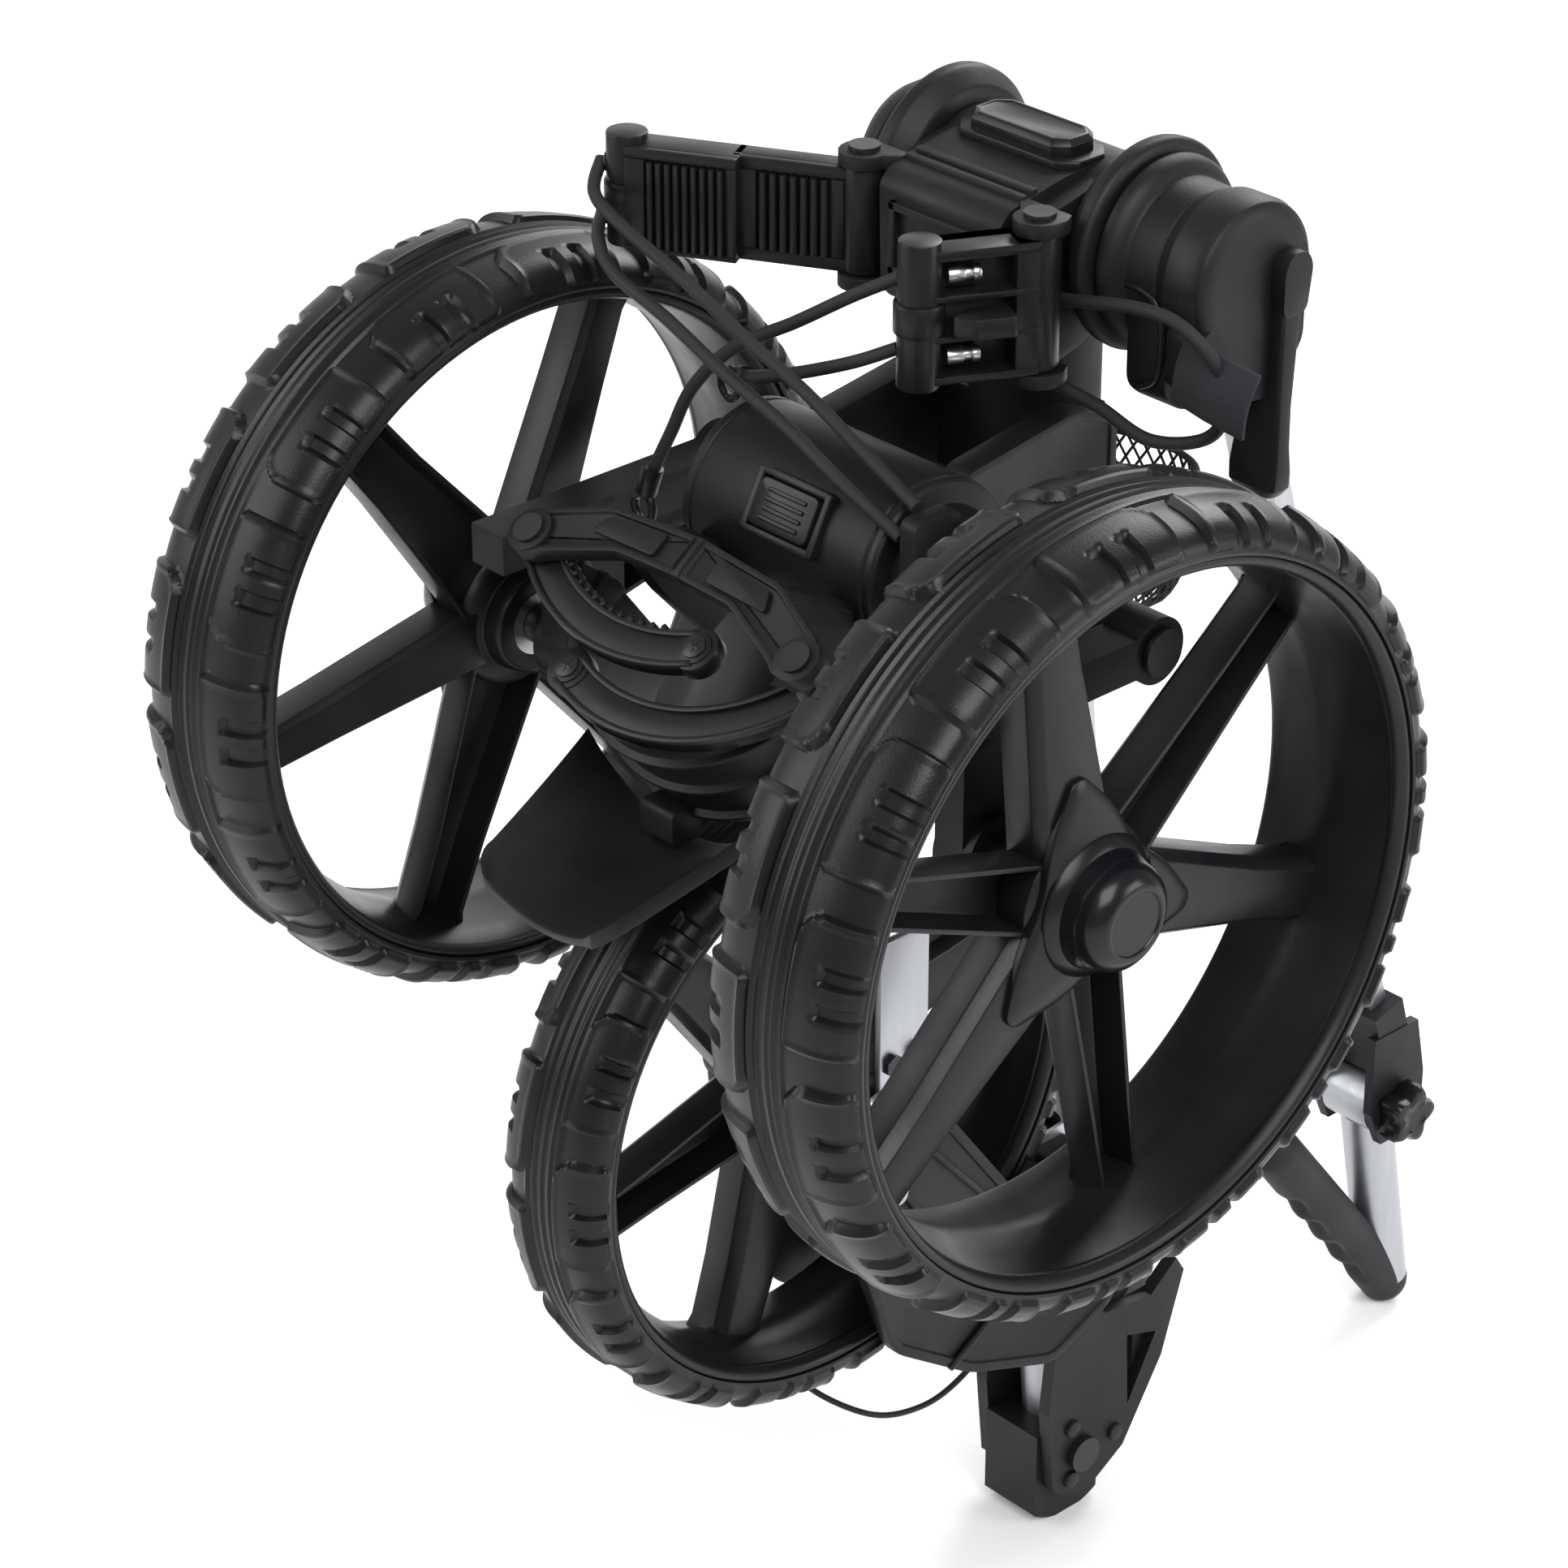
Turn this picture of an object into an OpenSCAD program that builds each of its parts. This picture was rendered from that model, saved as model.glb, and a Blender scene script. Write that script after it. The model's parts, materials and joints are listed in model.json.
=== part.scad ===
// Folded three-wheel golf push cart.
// +X points to the cart's right rear wheel, +Y to the handle, +Z up.
// The origin is on the surface that the folded cart stands on, under the middle of its box.
// Modules draw about the rear axle line and at_axle() moves them to that frame.

/* [Overall] */
// Height of the rear axle above the standing surface
axle_height = 420; // [414:1:450]
// Distance between the middles of the two rear tyres
track = 316; // [312:1:330]
// Furthest reach of the handle behind the rear axle
handle_reach = 386; // [380:1:400]

/* [Rear wheels] */
// Outer radius of a rear tyre
rear_r = 152; // [145:1:156]
// Width of a rear tyre
rear_w = 66; // [56:1:68]
// Radius of a rear rim's inner lip
rear_lip = 131; // [124:1:134]

/* [Front wheel] */
// Outer radius of the front tyre
front_r = 134; // [124:1:134]
// Width of the front tyre
front_w = 50; // [40:1:54]
// Radius of the front rim's inner lip
front_lip = 114; // [104:1:116]

/* [Wheel parts] */
// Number of spokes in each wheel
spokes = 6; // [5:1:8]
// Wall of a tyre's carcass
tyre_wall = 5; // [4:0.5:7]
// Wall of a rim's barrel
rim_wall = 3.5; // [3:0.5:5]
// Axle diameter
axle_d = 10; // [8:0.5:12]
// Outer diameter of a wheel bearing
bearing_d = 26; // [22:0.5:28]
// Width of a wheel bearing
bearing_w = 8; // [6:0.5:9]

/* [Tubes] */
// Depth of the main spine tube, front to back
spine_d = 24; // [20:0.5:25]
// Depth of the lower tube, front to back
lower_d = 24; // [20:0.5:25]
// Width of both tubes across their flats
tube_flat = 18; // [14:0.5:20]
// Wall of both tubes
tube_wall = 1.6; // [1.2:0.1:2.5]
// Diameter of the handle tube
handle_d = 23; // [20:0.5:24]

/* [Knee] */
// Radius of the foot that the folded cart stands on
foot_r = 33; // [31:0.5:34]
// Width of the foot block
foot_w = 30; // [26:0.5:34]
// Diameter of the knee pin
knee_pin_d = 10; // [8:0.5:12]

/* [Console] */
// Radius of the console drum
drum_r = 28; // [26:0.5:30]
// Radius of the journals that carry the handle collars
journal_r = 23; // [20:0.5:25]
// Radius of the handle collars
collar_r = 35; // [32:0.5:37]

/* [Bag brackets] */
// Distance between the two upper arm pins
upper_pins = 90; // [86:1:100]
// Height of the left upper arm
left_arm_h = 41; // [36:1:46]
// Height of the right upper arm
right_arm_h = 51; // [44:1:54]
// Length of the left upper arm
left_arm_len = 100; // [90:1:104]
// Length of the right upper arm
right_arm_len = 47; // [42:1:52]
// Distance between the two lower arm pins
lower_pins = 142; // [136:1:150]
// Diameter of the bracket pins
bracket_pin_d = 8; // [6:0.5:9]

/* [Hidden] */
$fn = 48;

centre_y = (handle_reach - rear_r) / 2;
run = 0.05;         // radial clearance of a pin or shaft that turns
gap = 0.4;          // clearance between faces that pass each other
wheel_x = track / 2;

// Main places about the rear axle line, as [y, z]
front_hub = [15, -150];
knee = [156, foot_r - axle_height];
drum = [138, 174];
housing = [34, 77];
spine_lean = 0.096;
spine_gap = 27;   // the two tubes lie this far apart
spine_bottom = -350;
spine_top = 62;
lower_top = -228;
lower_bottom = -404;
function spine_y(z) = 163.5 - spine_lean * (z + 137);
function lower_y(z) = spine_y(z) - spine_gap;
lean_angle = atan(spine_lean);
// Tilt of the lower bracket's plane, and its middle between the pins
tilt = 36.87;
tilt_at = [0, -48, 70];

black = [0.09, 0.09, 0.1];
soft_black = [0.14, 0.14, 0.16];
silver = [0.8, 0.81, 0.83];
steel = [0.6, 0.6, 0.62];

module at_axle() translate([0, -centre_y, axle_height]) children();
module rod_x(r, x0, x1, at) translate([x0, at[0], at[1]]) rotate([0, 90, 0]) cylinder(r = r, h = x1 - x0);
module ring_x(r_out, r_in, x0, x1, at) difference() {
    rod_x(r_out, x0, x1, at);
    rod_x(r_in, x0 - 1, x1 + 1, at);
}
module box(x, y, z) translate([x[0], y[0], z[0]]) cube([x[1] - x[0], y[1] - y[0], z[1] - z[0]]);
// A plate that lies in the Y-Z plane, from x0 to x1
module plate_x(x0, x1) translate([x0, 0, 0]) rotate([90, 0, 90]) linear_extrude(x1 - x0) children();
module in_tilt() translate(tilt_at) rotate([tilt, 0, 0]) children();
module both_sides() { children(); mirror([1, 0, 0]) children(); }

// A tube with two flats, standing on [y, z_low] and leaning as the spine does
module flat_tube(d, w, h) difference() {
    intersection() {
        cylinder(d = d, h = h);
        translate([-w / 2, -d, -1]) cube([w, 2 * d, h + 2]);
    }
    intersection() {
        translate([0, 0, -1]) cylinder(d = d - 2 * tube_wall, h = h + 2);
        translate([tube_wall - w / 2, -d, -2]) cube([w - 2 * tube_wall, 2 * d, h + 4]);
    }
}
module flat_bar(d, w, h) intersection() {
    cylinder(d = d, h = h);
    translate([-w / 2, -d, -1]) cube([w, 2 * d, h + 2]);
}
module along_spine(z) translate([0, spine_y(z), z]) rotate([lean_angle, 0, 0]) children();
module along_lower(z) translate([0, lower_y(z), z]) rotate([lean_angle, 0, 0]) children();

// ---------- frame ----------
module spine_tube() color(silver) at_axle() along_spine(spine_bottom)
    flat_tube(spine_d, tube_flat, (spine_top - spine_bottom) / cos(lean_angle));

foot_flat = 0.8;    // depth of the flat that the foot stands on
cheek_x = foot_w / 2 + gap;
cheek_t = 6;
module knee_casting() color(black) at_axle() difference() {
    union() {
        both_sides() plate_x(cheek_x, cheek_x + cheek_t) difference() {
            polygon([[140, -400], [150, -407], [164, -407], [182, -396], [204, -360], [216, -322], [211, -314],
                [196, -326], [168, -322], [152, -300], [142, -300], [136, -360]]);
            polygon([[184, -376], [200, -346], [182, -340]]);
        }
        box([-cheek_x - 1, cheek_x + 1], [191, 199], [-372, -336]);
        along_spine(spine_bottom) cylinder(d = spine_d + 8, h = 62);
        box([-cheek_x - 1, cheek_x + 1], [180, 204], [-332, -324]);
    }
    along_spine(spine_bottom - 1) flat_bar(spine_d + 2 * run, tube_flat + 2 * run, 300);
    rod_x(knee_pin_d / 2, -60, 60, knee);
    rod_x(foot_r + foot_flat + gap, -cheek_x, cheek_x, knee);
    box([-cheek_x, cheek_x], [100, lower_y(-360) + lower_d / 2 + 1.5], [-430, -270]);
}
module knee_pin() color(steel) at_axle() {
    rod_x(knee_pin_d / 2 - run, -cheek_x - cheek_t - 1, cheek_x + cheek_t + 1, knee);
    both_sides() rod_x(8, cheek_x + cheek_t + 0.2, cheek_x + cheek_t + 3.5, knee);
}

post_y = 133;
post_r = 25;
post_top = drum[1] - drum_r + 8;
module post_sleeve() color(black) at_axle() difference() {
    union() {
        translate([0, post_y, 40]) cylinder(r = post_r, h = post_top - 40);
        box([-29.8, 29.8], [112, 140], [68, 104]);
    }
    along_spine(spine_bottom)
        flat_bar(spine_d + 2 * run, tube_flat + 2 * run, (spine_top + 0.2 - spine_bottom) / cos(lean_angle));
    rod_x(drum_r + 0.2, -80, 80, drum);
    box([-60, 60], [60, 200], [36, 42]);
}

// ---------- console ----------
box_x = 46;
drum_x = 40;
module console_body() color(black) at_axle() difference() {
    union() {
        rod_x(drum_r, -drum_x, drum_x, drum);
        plate_x(-31, 31) polygon([[80, 192], [112, 199], [140, 202], [140, 150], [112, 132], [84, 146]]);
        both_sides() plate_x(30, 39.8) polygon([[98, 192], [128, 199], [134, 180], [120, 138], [98, 132]]);
        // lugs that carry the upper arm pins
        for (s = [-1, 1], z = [[upper_z1 + gap, upper_z1 + 6], [arm_z0(s) - 6, arm_z0(s) - gap]]) {
            translate([s * upper_pins / 2, upper_pin_y, z[0]]) cylinder(r = 10, h = z[1] - z[0]);
            translate([s * (upper_pins / 2 - 4) - 14, upper_pin_y, z[0]]) cube([28, 15, z[1] - z[0]]);
        }
    }
    for (s = [-1, 1]) {
        translate([s * upper_pins / 2, upper_pin_y, 100]) cylinder(d = bracket_pin_d, h = 140);
        translate([s * upper_pins / 2, upper_pin_y, arm_z0(s) - gap])
            cylinder(r = 12, h = arm_h(s) + 2 * gap);
    }
    rod_x(7, -100, 100, drum);
    translate([0, post_y, 100]) cylinder(r = post_r + gap, h = post_top + gap - 100);
    // well of the push button
    translate([0, button_y, drum[1] + drum_r - 9]) button_shape(0.3, 30);
}
button_l = 52;
button_w = 22;
module button_shape(grow, h) linear_extrude(h) {
    translate([-(button_l - button_w) / 2, 0]) circle(d = button_w + 2 * grow);
    translate([(button_l - button_w) / 2, 0]) circle(d = button_w + 2 * grow);
    square([button_l - button_w, button_w + 2 * grow], center = true);
}
button_travel = 3;
button_y = drum[0] - 10;
module push_button() color(soft_black) at_axle()
    translate([0, button_y, drum[1] + drum_r - 9 + button_travel + 0.3]) button_shape(0, 10);

journal_x = drum_x + 16;
module console_shaft() color(steel) at_axle() rod_x(6.9, -72, shaft_x1, drum);
module console_cap_left() color(black) at_axle() difference() {
    union() {
        rod_x(journal_r, -journal_x, -drum_x - 0.1, drum);
        rod_x(30, -journal_x - 7, -journal_x, drum);
        translate([-journal_x - 6.5, drum[0], drum[1]]) rotate([0, -90, 0]) rotate_extrude() difference() {
            intersection() {
                translate([0, -16]) circle(r = 32, $fn = 64);
                square([40, 40]);
            }
            translate([0, 15]) square([40, 20]);
        }
    }
    rod_x(7, -72.3, 10, drum);
}
module console_end_right() color(black) at_axle() difference() {
    union() {
        rod_x(journal_r, drum_x + 0.1, journal_x, drum);
        rod_x(34, journal_x, journal_x + 8, drum);
        rod_x(31, journal_x + 8, 104, drum);
        plate_x(80, 104) polygon([[110, 168], [112, 138], [124, 126], [150, 126], [164, 146], [164, 186]]);
    }
    rod_x(7, 0, shaft_x1 + 0.3, drum);
    rod_x(2.5, 70, 130, [lever_y, lever_top]);
    box([lever_x0 - gap, 120], [lever_y - 8 - gap, 185], [60, lever_top + 9]);
}
lever_x0 = 87;
lever_x1 = 111;
lever_y = 152;
lever_top = 176;
lever_low = 88;
shaft_x1 = lever_x0 - 2;
module brake_lever() color(soft_black) at_axle() difference() {
    union() {
        rod_x(8, lever_x0, lever_x1, [lever_y, lever_top]);
        box([lever_x0, lever_x1], [lever_y - 7, lever_y + 3], [lever_low + 12, lever_top]);
        translate([(lever_x0 + lever_x1) / 2, lever_y + 3, lever_low + 12.5]) rotate([90, 0, 0])
            cylinder(d = lever_x1 - lever_x0, h = 10);
    }
    rod_x(2.5, 70, 130, [lever_y, lever_top]);
}
module lever_pin() color(steel) at_axle() rod_x(2.5 - run, 76, lever_x1 - 1, [lever_y, lever_top]);

// ---------- rear axle housing and lower bag bracket ----------
house_r = 34;
house_x0 = -50;
house_x1 = 50;
pivot_r = 6;
leg_pivot = [78, 54];
module axle_housing() color(black) at_axle() difference() {
    union() {
        rod_x(house_r, house_x0, house_x1, housing);
        rod_x(25, house_x1, 90, housing);
        // lug that the elastic cords hook on
        box([61, 69], [4, 26], [84, 110]);
    }
    rod_x(10, -100, 100, housing);
    latch_place() translate([-15.3, -9.3, -9]) cube([30.6, 18.6, 40]);
}
latch_angle = 62;
module latch_place() translate([4, housing[0], housing[1]]) rotate([latch_angle, 0, 0])
    translate([0, 0, house_r - 2]) children();
module latch_button() color(soft_black) at_axle() latch_place()
    translate([-15, -9, -4.6]) cube([30, 18, 11]);

module housing_bracket() color(black) at_axle() difference() {
    union() {
        // arms back to the post
        both_sides() plate_x(30, 42) polygon([[56, 104], [112, 112], [134, 104], [134, 66], [88, 40], [68, 40],
            [50, 60]]);
        // legs forward to the bracket plate
        both_sides() plate_x(30, 40) polygon([[16, 60], [22, 50], [-4, 34], [-24, 56],
            [-37, 74], [-39, 79], [-31, 86], [-8, 76]]);
    }
    rod_x(house_r + 0.2, -60, 60, housing);
    rod_x(pivot_r, -80, 80, leg_pivot);
}
module leg_shaft() color(steel) at_axle() {
    rod_x(pivot_r - run, -leg_x1 - 1, leg_x1 + 1, leg_pivot);
    both_sides() rod_x(9, leg_x1 + 1.2, leg_x1 + 3.2, leg_pivot);
}

plate_z0 = 4;
plate_z1 = 11;
left_z = [-4.5, 3.5];
right_z = [-13, -5];
base_z = -14;
module lower_bracket_plate() color(black) at_axle() in_tilt() difference() {
    translate([0, 0, plate_z0]) linear_extrude(plate_z1 - plate_z0) {
        both_sides() {
            polygon([[lower_pins / 2 + 8, -2], [lower_pins / 2 + 3, 9], [44, 22], [0, 25], [0, 8], [30, 7],
                [lower_pins / 2 - 8, -3]]);
            translate([lower_pins / 2, 0]) circle(r = 9);
        }
    }
    both_sides() translate([lower_pins / 2, 0, -40]) cylinder(d = bracket_pin_d, h = 80);
}
module bracket_pin(h, rise) {
    cylinder(d = bracket_pin_d - 2 * run, h = h);
    translate([0, 0, h + rise]) cylinder(d = 12, h = 2);
}
module bracket_pins() color(steel) at_axle() {
    in_tilt() both_sides() translate([lower_pins / 2, 0, -22]) bracket_pin(22 + plate_z1, 0.2);
    for (s = [-1, 1]) translate([s * upper_pins / 2, upper_pin_y, arm_z0(s) - 5.8])
        bracket_pin(arm_h(s) + 11.6, 0.4);
}
base_r = 54;
module bag_base() color(black) at_axle() union() {
    bag_shell();
    box([-9, 9], [-58, -44], [-20, -6]);
}
module bag_shell() in_tilt() difference() {
    union() {
        for (s = [1, -1]) translate([s * lower_pins / 2, 0, base_z - 7]) {
            cylinder(r = 9, h = 7);
            translate([s > 0 ? -26 : 0, -5, 0]) cube([26, 10, 7]);
        }
        intersection() {
            difference() {
                union() {
                    translate([0, 8, -70]) cylinder(r = base_r, h = base_z + 70, $fn = 96);
                    for (z = [-28, -46, -64]) translate([0, 8, z]) cylinder(r = base_r + 3, h = 2, $fn = 96);
                }
                translate([0, 8, -90]) cylinder(r = base_r - 3, h = 120, $fn = 96);
            }
            translate([-80, -70, -100]) cube([160, 76, 120]);
        }
    }
    both_sides() translate([lower_pins / 2, 0, -40]) cylinder(d = bracket_pin_d, h = 80);
}
module bag_rest() color(black) at_axle() intersection() {
    translate([0, -125, 24]) rotate([-80, 0, 0]) difference() {
        cylinder(r = 62, h = 90, $fn = 96);
        translate([0, 0, -1]) cylinder(r = 58.5, h = 92, $fn = 96);
    }
    translate([0, 0, -80]) linear_extrude(75) {
        both_sides() translate([24, -105]) circle(r = 13);
        polygon([[-24, -118], [24, -118], [37, -105], [48, -44], [-48, -44], [-37, -105]]);
    }
}
// A flat band of straight lengths that follows an arc
module curved_arm(r, from, to, w, h, steps = 7) linear_extrude(h) polygon([
    for (i = [0:steps]) (r + w / 2) * [cos(from + i * (to - from) / steps), sin(from + i * (to - from) / steps)],
    for (i = [steps:-1:0]) (r - w / 2) * [cos(from + i * (to - from) / steps), sin(from + i * (to - from) / steps)]]);
// centre of the left arm's arc lies above the middle of its chord
module arm_arc(x0, y0, x1, y1, bow, w, h) {
    dx = x1 - x0;
    dy = y1 - y0;
    chord = norm([dx, dy]);
    r = (chord * chord / 4 + bow * bow) / (2 * bow);
    turn = atan2(dy, dx);
    over = atan(3 / r);   // the band runs a little past both pins
    half = asin(chord / 2 / r) + over;
    translate([(x0 + x1) / 2, (y0 + y1) / 2, 0]) rotate(turn) translate([0, r - bow, 0])
        curved_arm(r, 270 - half, 270 + half, w, h);
}
left_tip = [22, -10];
right_tip = [-30, -35];
module lower_arm(side, tip, bow, zz) difference() {
    translate([0, 0, zz[0]]) {
        translate([0, 0, 0.5]) if (side < 0) arm_arc(-lower_pins / 2, 0, tip[0], tip[1], bow, 15, zz[1] - zz[0] - 1);
        else arm_arc(tip[0], tip[1], lower_pins / 2, 0, bow, 15, zz[1] - zz[0] - 1);
        translate([side * lower_pins / 2, 0, 0]) cylinder(r = 8.5, h = zz[1] - zz[0]);
        translate([tip[0], tip[1], 0]) cylinder(r = 9, h = zz[1] - zz[0]);
    }
    translate([side * lower_pins / 2, 0, -40]) cylinder(d = bracket_pin_d, h = 80);
    translate([tip[0], tip[1], -40]) cylinder(d = 5, h = 80);
    translate([tip[0], tip[1], zz[1] - 2.4]) cylinder(d = 10, h = 10);
}
module lower_arm_left() color(soft_black) at_axle() in_tilt() lower_arm(-1, left_tip, 14, left_z);
module lower_arm_right() color(soft_black) at_axle() in_tilt() lower_arm(1, right_tip, 20, right_z);
module arm_screw(tip, zz) translate([tip[0], tip[1], zz[0]]) {
    cylinder(d = 4.8, h = zz[1] - zz[0] - 2.3);
    translate([0, 0, zz[1] - zz[0] - 2.3]) cylinder(d = 9.6, h = 2.1);
}
module arm_screws_left() color(steel) at_axle() in_tilt() arm_screw(left_tip, left_z);
module arm_screws_right() color(steel) at_axle() in_tilt() arm_screw(right_tip, right_z);

// ---------- upper bag bracket ----------
upper_pin_y = 87;
upper_z1 = 190;
function arm_h(side) = side < 0 ? left_arm_h : right_arm_h;
function arm_z0(side) = upper_z1 - arm_h(side);
left_dir = 209;
right_dir = 243;
module from_pin(side, dir) translate([side * upper_pins / 2, upper_pin_y, arm_z0(side)]) rotate(dir)
    children();
module upper_arm_left() color(black) at_axle() from_pin(-1, left_dir) difference() {
    union() {
        cylinder(r = 8, h = left_arm_h);
        translate([0, -6, 0]) cube([left_arm_len * 0.5, 12, left_arm_h]);
        translate([left_arm_len * 0.46, -6, 0]) cube([left_arm_len * 0.54 - 6, 17, left_arm_h]);
        translate([left_arm_len - 8, 1, 0]) cylinder(r = 8, h = left_arm_h + 3);
    }
    translate([0, 0, -10]) cylinder(d = bracket_pin_d, h = 90);
    for (s = [10, 31]) translate([left_arm_len - 12, 1, s]) rotate([0, 90, 0]) cylinder(d = 7, h = 30);
    translate([11, 3.5, 5]) cube([29, 10, left_arm_h - 10]);
    translate([left_arm_len * 0.46 + 4, 8.5, 2]) cube([32, 10, left_arm_h - 6]);
}
module upper_pads_left() color(soft_black) at_axle() from_pin(-1, left_dir) {
    for (i = [0:6]) translate([12 + i * 4, 3.7, 5.5]) cube([2.4, 3.8, left_arm_h - 11]);
    for (i = [0:8]) translate([left_arm_len * 0.46 + 5 + i * 3.5, 8.7, 2.5]) cube([2, 3.8, left_arm_h - 7]);
}
module upper_arm_right() color(black) at_axle() from_pin(1, right_dir) difference() {
    union() {
        cylinder(r = 8, h = right_arm_h);
        translate([0, -8, 0]) cube([right_arm_len, 17, right_arm_h]);
        translate([right_arm_len - 2, 2, -2]) cylinder(r = 8, h = right_arm_h + 5);
    }
    translate([0, 0, -10]) cylinder(d = bracket_pin_d, h = 90);
    for (i = [0:2]) translate([11, -1, 3 + i * 15.5]) cube([27, 20, 13]);
    for (s = [9, 40]) translate([right_arm_len - 12, 3, s]) rotate([0, 90, 0]) cylinder(d = 5.4, h = 30);
}
module cord_crimps() color(steel) at_axle() from_pin(1, right_dir)
    for (s = [9, 40]) translate([24, 3, s]) rotate([0, 90, 0]) cylinder(d = 4.6, h = 11);

// ---------- wheels ----------
rear_hub_out = 18;
front_hub_out = 10;
module tyre(r, w, lip) rotate([0, 90, 0]) rotate_extrude($fn = 128) difference() {
    polygon([[lip + 5.2, -w / 2 + 3], [lip + 9, -w / 2], [r - 5, -w / 2 + 3], [r, -w / 2 + 10],
        [r, w / 2 - 10], [r - 5, w / 2 - 3], [lip + 9, w / 2], [lip + 5.2, w / 2 - 3]]);
    translate([lip, -w / 2 + tyre_wall + 1]) square([r - lip - tyre_wall, w - 2 * tyre_wall - 2]);
}
// hub_out is how far the hub stands out from the middle of the wheel
module rim(w, lip, phase, hub_out) difference() {
    spoke_end = lip - 1.6;
    union() {
        rotate([0, 90, 0]) rotate_extrude($fn = 128) {
            polygon([[lip - 5, 0], [lip, -w / 2 + 4], [lip, -w / 2 + 1], [lip + 5, -w / 2 + 1],
                [lip + 5, -w / 2 + 5], [lip + rim_wall, -w / 2 + 6], [lip - 3.5 + rim_wall, 0],
                [lip + rim_wall, w / 2 - 6], [lip + 5, w / 2 - 5], [lip + 5, w / 2 - 1],
                [lip, w / 2 - 1], [lip, w / 2 - 4]]);
        }
        translate([-w / 2 + 8, 0, 0]) rotate([0, 90, 0]) cylinder(r = 21, h = w / 2 - 8 + hub_out);
        translate([2, 0, 0]) rotate([0, 90, 0]) cylinder(r = 30, h = 4);
        for (i = [0:spokes - 1]) rotate([phase + i * 360 / spokes, 0, 0]) {
            if (i % 2 == 0) {
                plate_x(0, 3) polygon([[16, -19], [spoke_end, -12], [spoke_end, 12], [16, 19]]);
                for (s = [1, -1]) plate_x(-15.5, 1)
                    polygon([[18, s * 16.8], [spoke_end, s * 10.2], [spoke_end, s * 7.6], [18, s * 14]]);
            } else {
                plate_x(-16, -13.5) polygon([[16, -14], [spoke_end, -10], [spoke_end, 10], [16, 14]]);
                for (s = [1, -1]) plate_x(-15, 2.6)
                    polygon([[18, s * 12.2], [spoke_end, s * 8.6], [spoke_end, s * 6.2], [18, s * 9.6]]);
            }
        }
    }
    translate([-w, 0, 0]) rotate([0, 90, 0]) cylinder(d = bearing_d - 8, h = 2 * w);
    for (x = bearing_places(w, hub_out)) translate([x - (x < 0 ? 10 : 0), 0, 0]) rotate([0, 90, 0])
        cylinder(d = bearing_d, h = bearing_w + 10);
}
function bearing_places(w, hub_out) = [-w / 2 + 8, hub_out - bearing_w];
module bearings(w, hub_out) for (x = bearing_places(w, hub_out)) translate([x, 0, 0]) rotate([0, 90, 0]) difference() {
    cylinder(d = bearing_d - 2 * run, h = bearing_w);
    translate([0, 0, -1]) cylinder(d = axle_d, h = bearing_w + 2);
}
module hub_cap() translate([rear_hub_out + gap, 0, 0]) rotate([0, 90, 0]) difference() {
    rotate_extrude($fn = 64) polygon([[0, 0], [22, 0], [22, 5], [18, 9], [16, 9], [15, 7], [0, 7]]);
    translate([0, 0, -1]) cylinder(d = axle_d + 4, h = 5);
}
module at_rear(side) at_axle() translate([side * wheel_x, 0, 0]) mirror([side < 0 ? 1 : 0, 0, 0]) children();
module tyre_left() color(black) at_rear(-1) tyre(rear_r, rear_w, rear_lip);
module tyre_right() color(black) at_rear(1) tyre(rear_r, rear_w, rear_lip);
module rim_left() color(soft_black) at_rear(-1) rim(rear_w, rear_lip, 8, rear_hub_out);
module rim_right() color(soft_black) at_rear(1) rim(rear_w, rear_lip, 100, rear_hub_out);
module hub_cap_left() color(soft_black) at_rear(-1) hub_cap();
module hub_cap_right() color(soft_black) at_rear(1) hub_cap();
module bearings_left() color(steel) at_rear(-1) bearings(rear_w, rear_hub_out);
module bearings_right() color(steel) at_rear(1) bearings(rear_w, rear_hub_out);

// ---------- rear legs ----------
leg_x0 = 100;
leg_x1 = 118;
module rear_leg(side) mirror([side < 0 ? 1 : 0, 0, 0]) difference() {
    union() {
        box([leg_x0, leg_x1], [-44, 78], [46, 62]);
        box([leg_x0, 114], [-15, 15], [-6, 50]);
        rod_x(16, leg_x0, leg_x1, [0, 0]);
        rod_x(13, leg_x0, leg_x1, leg_pivot);
    }
    rod_x(axle_d / 2, 80, 140, [0, 0]);
    rod_x(pivot_r, 60, 140, leg_pivot);
}
module rear_leg_left() color(black) at_axle() rear_leg(-1);
module rear_leg_right() color(black) at_axle() rear_leg(1);
module rear_axle(side) mirror([side < 0 ? 1 : 0, 0, 0]) {
    rod_x(axle_d / 2 - run, 101, wheel_x + rear_hub_out + 0.6, [0, 0]);
    rod_x(8, leg_x1 + 0.1, wheel_x - rear_w / 2 + 7.6, [0, 0]);
}
module axle_left() color(steel) at_axle() rear_axle(-1);
module axle_right() color(steel) at_axle() rear_axle(1);

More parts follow.
